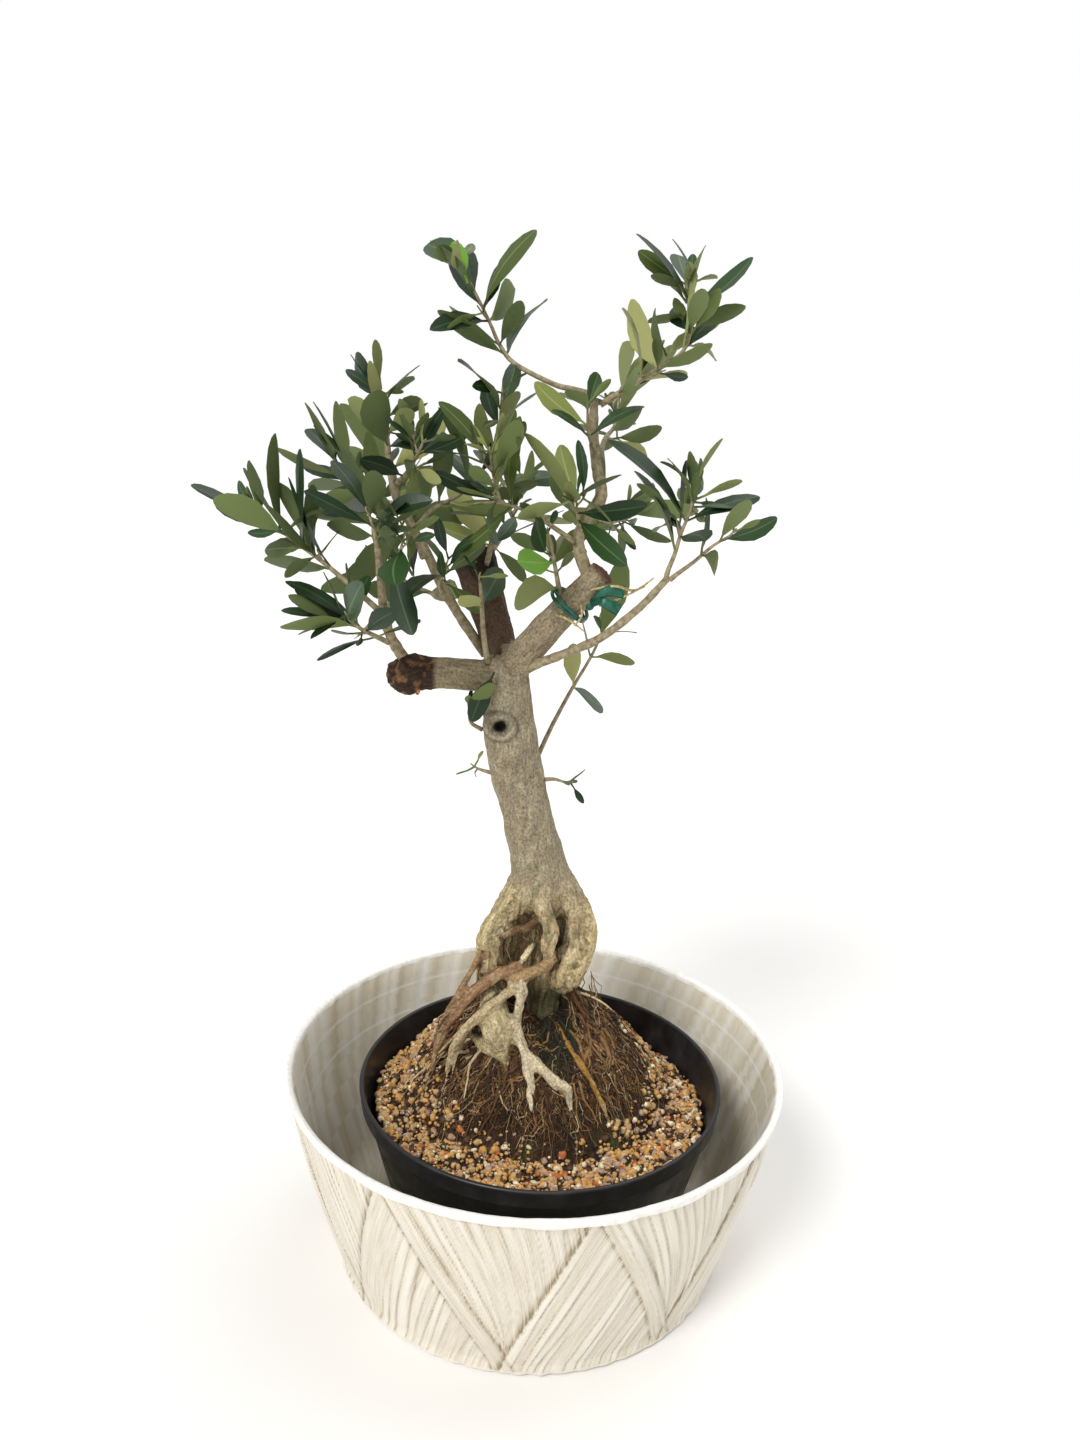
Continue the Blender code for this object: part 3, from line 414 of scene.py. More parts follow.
def fold_relief(turn, height):
    """How far the pleated side stands out from its deepest crease, in millimetres, the pleats' coordinate and the
    painted shade: darker in the pleats' creases and in the shadow under each lap and beside the band.

    Eight zigzag panels of ribbon, each with pleats along its own slope. Every second panel laps over its
    neighbour with a crisp edge, and a rounded band runs down the other edge.
    """
    period = 360 / COVER_PANELS
    t = height / COVER_HEIGHT
    rising = LAP_START + LAP_LEAN * t
    panel = math.floor((turn - rising) / period)
    into = turn - rising - panel * period
    falling = (LAP_LEAN + BAND_LEAN) * (1 - t)
    if into < falling:
        pleat = turn - LAP_LEAN * t
        share = into / max(falling, 1e-6)
        lift = 1.25 - 0.75 * smooth_step(share, 0.0, 0.8)
        lap_shadow = 0.0
    else:
        share = (into - falling) / max(period - falling, 1e-6)
        pleat = turn - (BAND_LEAN - 15 * share) * (1 - t)
        lift = 0.35 - 0.25 * smooth_step(share, 0.4, 1.0)
        # Painted shadow cast by the next lap's overlapping edge.
        lap_shadow = smooth_step(into, period - 2.4, period)
    from_band = (turn - rising - falling - 2.2 + period / 2) % period - period / 2
    if abs(from_band) < BAND_HALF:
        pleat = turn + BAND_LEAN * t
        lift = max(lift, 0.8 + 0.8 * (1 - (abs(from_band) / BAND_HALF) ** 3))
    # Painted shadow along both sides of the band.
    lap_shadow = max(lap_shadow, 0.8 * math.exp(-(((abs(from_band) - 2.9) / 0.5) ** 2)))
    wander = pleat + 2.6 * rough_at(pleat * 0.13, panel * 7.3, t * 0.9)
    wander += 0.9 * rough_at(pleat * 0.5, panel * 5.1, t * 2.0)
    count = math.floor(wander * PLEATS)
    phase = (wander * PLEATS) % 1.0
    deep = smooth_step(rough_at(count * 3.7, panel * 2.1, t * 1.2), -0.35, 0.35)
    fold = deep * phase * (1 - smooth_step(phase, 0.80, 1.0))
    fine = rough_at(pleat * 2.2, panel * 3.1, t * 1.4)
    # A painted dark line along each pleat's deepest fold.
    crease_line_shade = deep * (math.exp(-((phase / 0.12) ** 2)) + math.exp(-(((1 - phase) / 0.12) ** 2)))
    # Painted shade: darker low in each pleat, along the deepest folds and in the lap shadows.
    shade = 0.22 + 0.34 * (1 - fold / 0.72) - 0.16 * fine + 0.38 * crease_line_shade + 0.42 * lap_shadow
    return lift + fold + 0.22 * fine, pleat, shade


def shape_cover(point):
    """Presses the folds and pleats into the outer side, and makes the rim uneven."""
    radius = point.xy.length
    if radius < 1:
        return point
    height = point.z
    turn = math.degrees(math.atan2(point.y, point.x)) + 90
    wall = cover_radius(min(COVER_HEIGHT, max(0.0, height)))
    if radius > wall - 1.2 and height > 2:
        lift = fold_relief(turn, height)[0]
        hem = COVER_HEIGHT - HEM + 0.7 * rough_at(turn / 9, 2, 8)
        fade = min(1.0, (height - 2) / 5) * (1 - smooth_step(height, hem - 0.9, hem + 0.5))
        puff = (0.35 + 0.5 * rough_at(turn / 8, 4, height / 6)) * smooth_step(height, hem, hem + 1.5)
        depth = (COVER_DEEP - min(COVER_DEEP, lift)) * fade + max(0.0, puff)
        return Vector((*(point.xy * (1 - depth / radius)), height))
    if height > COVER_HEIGHT - 3:
        rough = 0.5 * rough_at(turn / 7, 0, 3) + 0.2 * rough_at(turn / 2.5, 5, 0)
        return Vector((*point.xy, height - 0.5 + rough * 0.8))
    pleat = 0.9 * rough_at((turn + 0.14 * height) * 0.34, height * 0.01, 9)
    return Vector((*(point.xy * (1 + pleat / radius)), height))


def make_cover_pot():
    """The cover pot with its pleats, its lining and its hem."""
    outer = [
        (cover_radius(2 + (COVER_HEIGHT - 4) * ring / COVER_RINGS), 2 + (COVER_HEIGHT - 4) * ring / COVER_RINGS)
        for ring in range(COVER_RINGS + 1)
    ]
    top = COVER_TOP_RADIUS
    rim = [
        (top - 0.1, COVER_HEIGHT - 1.0), (top - 0.9, COVER_HEIGHT - 0.2), (top - 2.0, COVER_HEIGHT),
        (top - 3.2, COVER_HEIGHT - 0.3), (top - COVER_WALL + 0.1, COVER_HEIGHT - 1.4),
        (top - COVER_WALL - 0.2, COVER_HEIGHT - 3.4),
    ]
    inner = [(cover_radius(height) - COVER_WALL, height) for height in (98, 92, 86, 78, 68, 56, 40, 20, COVER_FLOOR)]
    profile = [
        (0, 0), (COVER_FOOT_RADIUS - 2.5, 0), (COVER_FOOT_RADIUS - 1.0, 0.5), (COVER_FOOT_RADIUS - 0.2, 1.2),
        *outer, *rim, *inner, (0, COVER_FLOOR),
    ]
    bm = turned(profile, COVER_STEPS, shape_cover)
    layer = bm.loops.layers.uv.new("ribbon")
    # The painted shade of the pleats' creases and of the laps, kept on the outer side's points for the ribbon's
    # colour.
    crease_shade = bm.verts.layers.float.new("crease_shade")
    for vert in bm.verts:
        spot = vert.co / MM
        outside = 2 < spot.z < COVER_HEIGHT - HEM + 1.5 and spot.xy.length > cover_radius(spot.z) - COVER_DEEP - 0.3
        if outside:
            vert[crease_shade] = fold_relief(math.degrees(math.atan2(spot.y, spot.x)) + 90, spot.z)[2]
    for face in bm.faces:
        middle = face.calc_center_median() / MM
        turn = math.degrees(math.atan2(middle.y, middle.x)) + 90
        inside = middle.xy.length < cover_radius(max(0.0, middle.z)) - 3.3 and middle.z > 1
        if middle.z > COVER_HEIGHT - HEM + 0.2:
            face.material_index = 2
        elif inside:
            face.material_index = 1
        pleat = fold_relief(turn, middle.z)[1] if not inside else turn + 0.14 * middle.z
        for loop in face.loops:
            spot = loop.vert.co / MM
            own = math.degrees(math.atan2(spot.y, spot.x)) + 90
            own += 360 * round((turn - own) / 360)
            loop[layer].uv = ((pleat + own - turn) / 360, spot.z / COVER_HEIGHT)
    wrap = link_mesh("cover_wrap", bm, cover_material(), liner_material(), hem_material())
    return settle(wrap, "cover_wrap", "cover_pot")


def cover_material():
    """Sheer woven ribbon, pleated by hand: fine threads run along each pleat, and painted shade darkens the creases
    and the places under the laps.
    """
    material, tree, shader = surface("pleated woven ribbon", "#EEE8DA", 0.6, Sheen_Weight=0.2, Sheen_Roughness=0.4)
    ribbon = add(tree, "UVMap", uv_map="ribbon")
    stretch = add(tree, "Mapping", {"Scale": (360, 1.6, 1)}, {"Vector": ribbon.outputs["UV"]})
    threads = add(tree, "TexNoise", {"Scale": 3.2, "Detail": 4.0, "Roughness": 0.65}, {"Vector": stretch.outputs[0]})
    wefts = add(tree, "Mapping", {"Scale": (60, 90, 1)}, {"Vector": ribbon.outputs["UV"]})
    weave = add(tree, "TexNoise", {"Scale": 2.0, "Detail": 2.0}, {"Vector": wefts.outputs[0]})
    both = add(tree, "Math", {1: 0.35}, {0: weave.outputs["Fac"]}, operation="MULTIPLY")
    height = add(tree, "Math", {}, {0: threads.outputs["Fac"], 1: both.outputs[0]}, operation="ADD")
    # Painted shade of the creases and laps, read from the cover's points.
    crease_shade = add(tree, "Attribute", attribute_name="crease_shade")
    deep = mapped(tree, threads.outputs["Fac"], 0.3, 0.7, -0.22, 0.22)
    tone = add(tree, "Math", {}, {0: crease_shade.outputs["Fac"], 1: deep}, operation="ADD")
    colour = add(
        tree, "ValToRGB", {}, {"Fac": tone.outputs[0]},
        stops=((0.12, "#F4EEE2"), (0.45, "#E9E1D1"), (0.74, "#D0C5AF"), (0.98, "#94866A")),
    )
    wire(tree, shader, colour.outputs[0], height.outputs[0], 0.6, 0.0007)
    return material


def liner_material():
    """The same ribbon seen from inside, its colours made pale as painted light for the light that shines through the
    wall, with two stitched rings near the rim.
    """
    material, tree, shader = surface("ribbon lining", "#D3CAB4", 0.7)
    ribbon = add(tree, "UVMap", uv_map="ribbon")
    stretch = add(tree, "Mapping", {"Scale": (150, 0.7, 1)}, {"Vector": ribbon.outputs["UV"]})
    threads = add(tree, "TexNoise", {"Scale": 0.5, "Detail": 4.0}, {"Vector": stretch.outputs[0]})
    colour = add(
        tree, "ValToRGB", {}, {"Fac": threads.outputs["Fac"]},
        stops=((0.32, "#D3C7AA"), (0.5, "#E8DFCB"), (0.66, "#F5F0E4")),
    )
    up = add(tree, "SeparateXYZ", {}, {"Vector": ribbon.outputs["UV"]})
    rings = add(
        tree, "ValToRGB", {}, {"Fac": up.outputs["Y"]},
        stops=((0.0, "#000000"), (0.70, "#000000"), (0.712, "#E0E0E0"), (0.724, "#000000"), (0.845, "#000000"),
               (0.857, "#E0E0E0"), (0.869, "#000000")),
    )
    parts = {"Fac": rings.outputs[0], "Color1": colour.outputs[0]}
    ringed = add(tree, "MixRGB", {"Color2": linear("#FBF8F0")}, parts)
    wire(tree, shader, ringed.outputs[0], threads.outputs["Fac"], 0.4, 0.001)
    return material


def hem_material():
    """The ribbon's folded hem at the rim, bleached and thick, so it is the whitest place."""
    stops = ((0.35, "#F1EDE3"), (0.6, "#FCFAF5"))
    return speckled("folded ribbon hem", "#F8F5EE", 0.65, 420.0, 3.0, stops=stops, bump=(0.2, 0.0003))[0]


# Nursery pot

def nursery_side(height):
    """Outer radius of the nursery pot's side at a height."""
    foot = COVER_FLOOR + 0.3
    t = (height - foot) / (NURSERY_RIM - NURSERY_BAND - foot)
    return NURSERY_FOOT_RADIUS + (NURSERY_RADIUS - 3.0 - NURSERY_FOOT_RADIUS) * t


def make_nursery_pot():
    """The black pot with its thick rim band and rounded lip."""
    foot = COVER_FLOOR + 0.3
    shoulder = NURSERY_RIM - NURSERY_BAND
    lip = []
    for angle in range(0, 181, 30):
        out, up = math.cos(math.radians(angle)) - 1, math.sin(math.radians(angle)) - 1
        lip.append((NURSERY_RADIUS + NURSERY_LIP * out, NURSERY_RIM + NURSERY_LIP * up))
    profile = [
        (0, foot), (NURSERY_FOOT_RADIUS - 1, foot), (nursery_side(foot + 2), foot + 2),
        (nursery_side(shoulder - 0.4), shoulder - 0.4), (NURSERY_RADIUS - 2.4, shoulder),
        (NURSERY_RADIUS - 0.9, shoulder + 0.4), (NURSERY_RADIUS - 0.7, shoulder + 1.5),
        (NURSERY_RADIUS - 0.6, NURSERY_RIM - 2.4), *lip,
        (NURSERY_RADIUS - 2.6, NURSERY_RIM - 3.0), (nursery_side(shoulder) - NURSERY_WALL, shoulder - 1),
        (nursery_side(foot + 3) - NURSERY_WALL, foot + 2.2), (0, foot + 2.2),
    ]
    bm = turned(profile, 160, lambda point: point + Vector((NURSERY_X, NURSERY_Y, 0)))
    pot = link_mesh("nursery_shell", bm, plastic_material())
    pot.data.set_sharp_from_angle(angle=math.radians(50))
    return settle(pot, "black_plastic", "nursery_pot")


def plastic_material():
    """Injection-moulded polypropylene, scuffed and dusty from the nursery bench: a soft broken gloss."""
    material, tree, shader, scuff, _ = speckled(
        "moulded polypropylene", "#17171A", 0.36, 90.0, 5.0,
        stops=((0.4, "#121214"), (0.62, "#202024"), (0.8, "#3A3833")), bump=(0.15, 0.0004), IOR=1.49,
    )
    tree.links.new(mapped(tree, scuff, 0.3, 0.7, 0.28, 0.55), shader.inputs["Roughness"])
    return material


# Soil

def mound_share(x, y):
    """How far up the mound a place lies, from 0 on the level to 1 at the top."""
    away = math.hypot(x - MOUND_X, y - MOUND_Y)
    return min(1.0, max(0.0, (MOUND_RADIUS - away) / (MOUND_RADIUS - MOUND_FLAT))) ** MOUND_DOME


def soil_height(x, y):
    """Height of the soil: a gently tilted level with the mound on it."""
    low = math.radians(SOIL_LOW_SIDE)
    level = SOIL_LEVEL - SOIL_TILT * (x * math.cos(low) + y * math.sin(low)) / NURSERY_RADIUS
    height = level + (MOUND_TOP - level) * mound_share(x, y)
    return height + SOIL_ROUGH * noise.noise(Vector((x, y, 0)) / SOIL_LUMP)


def root_mat(x, y):
    """How deep in the mat of fine roots a place lies: over 0 inside it. The mat reaches furthest at the front."""
    ahead = max(0.0, math.cos(math.atan2(y - MOUND_Y, x - MOUND_X) + math.radians(80)))
    return mound_share(x, y) - 0.55 + 0.50 * ahead**0.6 + 0.10 * noise.noise(Vector((x, y, 7)) / 8)


def bed_height(x, y):
    """Height of the fine soil between the grains."""
    spot = Vector((x, y, 0))
    crumbs = 1.0 * noise.noise(spot / 3.4) + 0.7 * noise.noise(spot / 1.5 + Vector((7, 3, 1)))
    return soil_height(x, y) + crumbs - BED_SINK * (1 - 0.6 * mound_share(x, y))


def make_soil():
    """The fine soil that fills the pot, level with the mound under the root crown."""
    floor = COVER_FLOOR + 2.8
    inside = NURSERY_WALL + 0.4
    top = SOIL_LEVEL + 6
    wall = nursery_side(SOIL_LEVEL - SOIL_TILT - 3) - inside

    def shape(point):
        if point.z < top - 1:
            return point + Vector((NURSERY_X, NURSERY_Y, 0))
        share = min(1.0, point.xy.length / wall)
        x = point.x + MOUND_X * (1 - share) + NURSERY_X * share
        y = point.y + MOUND_Y * (1 - share) + NURSERY_Y * share
        return Vector((x, y, bed_height(x, y)))

    profile = [(0, floor), (nursery_side(floor) - inside, floor), (wall, SOIL_LEVEL - SOIL_TILT - 4)]
    profile += [(wall * (1 - ring / 82), top) for ring in range(82)]
    profile += [(0, top)]
    soil = link_mesh("soil_bed", turned(profile, 420, shape), soil_material())
    return settle(soil, "gritty_soil", "soil")


def soil_material():
    """Sieved peat and loam, damp in the hollows, with moss greening the shaded crumbs."""
    material, tree, shader, _, tone = speckled(
        "peat and loam", "#3A2A1C", 0.95, 420.0, 6.0, grain=0.7,
        stops=((0.30, "#120B06"), (0.48, "#301E10"), (0.62, "#50361C"), (0.8, "#836238")), bump=(0.8, 0.0012),
    )
    place = add(tree, "TexCoord").outputs["Object"]
    patch = add(tree, "TexNoise", {"Scale": 55.0, "Detail": 3.0}, {"Vector": place}).outputs["Fac"]
    where = add(tree, "ValToRGB", {}, {"Fac": patch}, stops=((0.54, "#000000"), (0.66, "#FFFFFF")))
    moss = add(tree, "MixRGB", {"Color2": linear("#3C4420")}, {"Fac": where.outputs[0], "Color1": tone})
    wire(tree, shader, moss.outputs[0])
    return material


GRIT = {
    "tan": ("#C9A36C", 0.29), "gold": ("#CC9850", 0.24), "cream": ("#E8D8B4", 0.11), "pink": ("#AE9079", 0.16),
    "rust": ("#B8682E", 0.05), "dark": ("#50361C", 0.15),
}


GRIT_SIZES = ((2.8, 5.6, 2500), (1.1, 2.4, 5600))  # smallest, largest, how many


def grit_material(name, colour):
    """Crushed flint and baked clay grit: dusty, a little translucent at the edges, each grain mottled."""
    return speckled(name + " grit", colour, 0.7, 500.0, 4.0, shade=(0.55, 1.25), bump=(0.4, 0.0005))[0]


def grain_template(draw):
    """A rough pebble of unit size."""
    bm = bmesh.new()
    bmesh.ops.create_cube(bm, size=1.0)
    bmesh.ops.subdivide_edges(bm, edges=bm.edges, cuts=1, use_grid_fill=True)
    for vert in bm.verts:
        vert.co = vert.co.normalized() * 0.5 * draw.uniform(0.82, 1.12)
    return mesh_arrays(bm)


def make_grit():
    """Grit lying on the soil, one joined piece for each colour. It thins out up the mound."""
    draw = random.Random(41)
    wall = nursery_side(SOIL_LEVEL) - NURSERY_WALL - 2.2
    for name, (colour, share) in GRIT.items():
        places = []
        for size_low, size_high, count in GRIT_SIZES:
            for _ in range(round(count * share)):
                angle = draw.uniform(0, math.tau)
                away = wall * math.sqrt(draw.uniform(0, 1))
                x = NURSERY_X + away * math.cos(angle)
                y = NURSERY_Y + away * math.sin(angle)
                size = draw.uniform(size_low, size_high)
                if draw.random() < 6 * root_mat(x, y) - (0.06 if size < 2.4 else 0.0):
                    continue
                flat = draw.uniform(0.55, 0.85)
                z = soil_height(x, y) + draw.uniform(-0.5, 0.5) - 0.45 * size * flat + 0.2
                turn = Matrix.Rotation(draw.uniform(0, math.tau), 4, Vector((draw.gauss(0, 1), draw.gauss(0, 1), 3)))
                scale = Matrix.Diagonal((size, size * draw.uniform(0.7, 1), size * flat, 1))
                places.append(Matrix.Translation((x, y, z)) @ turn @ scale)
        places = np.array(places)
        places[:, :3] *= MM
        piece = scatter("grit_" + name, grain_template(draw), places, grit_material(name, colour))
        settle(piece, "gritty_soil")


def rootlet_path(draw, angle, away, thick, steps, stride, rise, curl):
    """A root's run down the mound, a little above the soil, wandering as it goes."""
    x = MOUND_X + away * math.cos(angle)
    y = MOUND_Y + away * math.sin(angle)
    heading = angle + draw.gauss(0, 0.85)
    lift = draw.uniform(0.1, rise)
    path = []
    for step in range(steps + 1):
        wave = 1.3 * rough_at(x / 4, y / 4, thick * 40)
        height = max(soil_height(x, y) - 0.4, bed_height(x, y)) + lift * (1 - 0.7 * step / steps) + wave
        path.append(Vector((x, y, height, thick * (1 - 0.65 * step / steps))) * MM)
        heading += draw.gauss(0, curl) + 0.14 * (angle - heading)
        x += stride * math.cos(heading)
        y += stride * math.sin(heading)
    return path


# Bundles of roots on the mound: how many, their radius, the way they run in degrees from +X and how far that
# varies, where they start, how high they ride, their sides, the weights of the first four tones, their stride and
# how much they curl.
Bundle = namedtuple("Bundle", "count thick toward spread away rise sides tones stride curl")
BUNDLES = {
    "left_roots": Bundle(34, (0.5, 1.15), -143, 14, (30, 46), 3.2, 6, (1, 4, 4, 3), (1.8, 3.4), 0.5),
    "front_roots": Bundle(80, (0.45, 1.0), -92, 24, (24, 50), 2.4, 6, (1, 4, 5, 2), (1.8, 3.2), 0.6),
    "right_roots": Bundle(40, (0.55, 1.3), -38, 15, (20, 42), 3.0, 6, (3, 6, 3, 0.5), (1.8, 3.4), 0.55),
    "side_roots": Bundle(60, (0.4, 0.8), 90, 90, (22, 34), 1.8, 5, (2, 5, 3, 1), (1.8, 3.4), 0.5),
    "feeder_roots": Bundle(1200, (0.13, 0.36), -85, 44, (18, 54), 1.8, 3, (5, 6, 4, 1.2), (1.8, 3.2), 0.6),
    "curly_roots": Bundle(1300, (0.12, 0.30), -82, 46, (20, 60), 2.4, 3, (5, 6, 5, 1.2), (1.0, 1.8), 1.3),
    "fine_roots": Bundle(420, (0.14, 0.34), 90, 95, (20, 36), 1.4, 3, (4, 5, 3, 1), (1.8, 3.2), 0.7),
}


def make_rootlets():
    """Fine feeder roots that stream down the mound from the root crown, thickest at the front."""
    draw = random.Random(77)
    skins = [rootlet_material(*tone) for tone in ROOTLET_TONES]
    for name, bundle in BUNDLES.items():
        bm = bmesh.new()
        for _ in range(bundle.count):
            angle = math.radians(draw.gauss(bundle.toward, bundle.spread))
            path = rootlet_path(
                draw, angle, draw.uniform(*bundle.away), draw.uniform(*bundle.thick), draw.randint(8, 12),
                draw.uniform(*bundle.stride), bundle.rise, bundle.curl,
            )
            x, y = path[0].xy / MM
            # Under the right bulb most roots take the near-black mossy tone: moss with painted shade.
            moss_and_shade = -1 < x < 19 and y > -30 and draw.random() < 0.75
            tube(bm, path, bundle.sides, material=4 if moss_and_shade else draw.choices(range(4), bundle.tones)[0])
        settle(link_mesh(name, bm, *skins), "root_bark")


# The last tone, near black and mossy, is moss with painted shade under the right bulb.
ROOTLET_TONES = (
    ("dark rootlets", "#33200F"), ("brown rootlets", "#58381B"), ("tan rootlets", "#8C693C"),
    ("pale rootlets", "#C6B188"), ("mossy rootlets in painted shade", "#26260F"),
)


def rootlet_material(name, colour):
    """Thin living roots with a dry fibrous skin."""
    return speckled(name, colour, 0.8, 500.0, 3.0, shade=(0.6, 1.2))[0]


PALE_ROOT = ((16.4, -10, 143.7, 0.7), (25.6, -14, 143.1, 0.6), (31.9, -18, 141.8, 0.45), (36.3, -20, 139.3, 0.3))


HOLLOW_FIBRES = 26
BULB_FIBRES = 34


def make_hanging_roots():
    """Roots that hang free of the soil: a pale one at the right, and fibres under the hollow and the right bulb."""
    draw = random.Random(15)
    bm = bmesh.new()
    tube(bm, [point * MM for point in smooth_path(PALE_ROOT, 6)], 6, material=3)
    starts = [(draw.uniform(-20, 1), -13.0, draw.uniform(171, 179), 0.0, 5) for _ in range(HOLLOW_FIBRES)]
    starts += [
        (draw.uniform(10, 29), draw.uniform(-17, -8), draw.uniform(138, 156), 0.7, 9) for _ in range(BULB_FIBRES)
    ]
    for x, y, z, drift, steps in starts:
        thick = draw.uniform(0.16, 0.42)
        path = []
        for step in range(steps + 1):
            path.append(Vector((x, y, z, thick * (1 - 0.6 * step / steps))) * MM)
            x += drift + draw.gauss(0, 0.9)
            y += draw.gauss(0, 0.6) - 0.5 * drift
            z = max(z - draw.uniform(1.4, 3.6), soil_height(x, y) + 0.4)
        tube(bm, path, 4, material=draw.choices(range(4), (4, 5, 3, 1.5))[0])
    skins = [bpy.data.materials[name] for name, _ in ROOTLET_TONES]
    settle(link_mesh("hanging_roots", bm, *skins), "root_bark")


# Bark

def grown_nodes(names, swell):
    """A bmesh of each frame node, grown a little so that neighbours run together."""
    for name in names:
        part = bmesh.new()
        part.from_mesh(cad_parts[name].data)
        bmesh.ops.remove_doubles(part, verts=part.verts, dist=0.00001)
        part.normal_update()
        for vert, normal in [(vert, vert.normal.copy()) for vert in part.verts]:
            vert.co += normal * swell * MM
        yield name, part


# Knots, stubs and thin roots that are too small for the solids: x, y, z, radius along each.
BURRS = {
    "great_knob": ((-23, -11, 148, 4.0), (-22, -15.5, 142, 6.4), (-20.5, -20.5, 134, 8.2), (-18.5, -22.5, 125, 8.2),
                   (-15.5, -22, 117, 6.0)),
    "broken_stub": ((-2, -11, 169, 2.4), (-5, -14.5, 166.4, 2.6), (-8, -16.5, 162, 2.3)),
    "thin_root": ((-26, -11, 164, 2.2), (-30, -15, 160, 2.3), (-34, -17.5, 153.5, 2.2), (-37.5, -19.5, 148, 2.0),
                  (-43, -22, 139, 1.6), (-47, -23.5, 129, 1.2), (-50, -24, 119, 0.9)),
    "left_ridge": ((-12, -7, 196, 2.5), (-19, -10, 186, 3.0), (-25, -13, 176, 3.0), (-27, -13.5, 165, 2.6)),
    "hanging_bark": ((1, -12, 184, 2.2), (-6, -14, 178.5, 2.6), (-13, -14.5, 176.5, 2.4), (-18, -14, 172, 1.8)),
    "bulb_fold": ((22, -6, 190, 2.2), (25, -9, 180, 2.6), (25.5, -12, 169, 2.8), (21, -16, 159, 3.0),
                  (15, -18, 153, 2.6)),
    "right_spur": ((14, -12, 150, 2.4), (19, -14, 140, 2.0), (26, -15, 131, 1.6), (34, -16, 121, 1.2),
                   (42, -18, 108, 0.9)),
    "low_left": ((-28, -16, 133, 2.4), (-33, -21, 126, 2.0), (-37, -25, 118, 1.6), (-40, -30, 108, 1.1)),
    "low_front": ((-14, -22, 124, 2.2), (-13, -27, 116, 1.8), (-15, -33, 108, 1.5), (-18, -40, 99, 1.0)),
}


def even_skin(name, bm, voxel):
    """The bmesh as one closed skin of even faces."""
    obj = link_mesh(name + "_rough", bm)
    remesh = obj.modifiers.new("Skin", "REMESH")
    remesh.mode = "VOXEL"
    remesh.voxel_size = voxel * MM
    graph = bpy.context.evaluated_depsgraph_get()
    skin = bmesh.new()
    skin.from_mesh(obj.evaluated_get(graph).to_mesh())
    bpy.data.objects.remove(obj, do_unlink=True)
    return skin


def main_axis(points):
    """The direction that an array of points is longest in."""
    centred = points - points.mean(axis=0)
    return Vector(np.linalg.svd(centred, full_matrices=False)[2][0]).normalized()


SCAR_X = -22.5
SCAR_Z = 277.0
ROOT_TOP = 208.0  # height where the root crown's rough bark gives way to the trunk's
KNOB_TOP = 148.0  # height below which the knobs of the left leg are worn round

STEPS = (-1, 0, 1)
SKY = [Vector((x, y, z)).normalized() for x in STEPS for y in STEPS for z in STEPS if x or y or z]
SHELTER_REACH = 15.0
WOOD_SWELL = 0.45  # what the solids gain before the bark is cut back into them
WOOD_VOXEL = 0.85


def hollow_shade_at(tree, vert):
    """How shut in a place on the wood is, from 0 in the open to 1 deep in a hollow; it darkens the bark as painted
    shade and dirt together.
    """
    start = vert.co + vert.normal * 0.7 * MM
    ahead = [way for way in SKY if way.dot(vert.normal) > 0.3]
    hits = sum(tree.ray_cast(start, way, SHELTER_REACH * MM)[0] is not None for way in ahead)
    return hits / max(1, len(ahead))


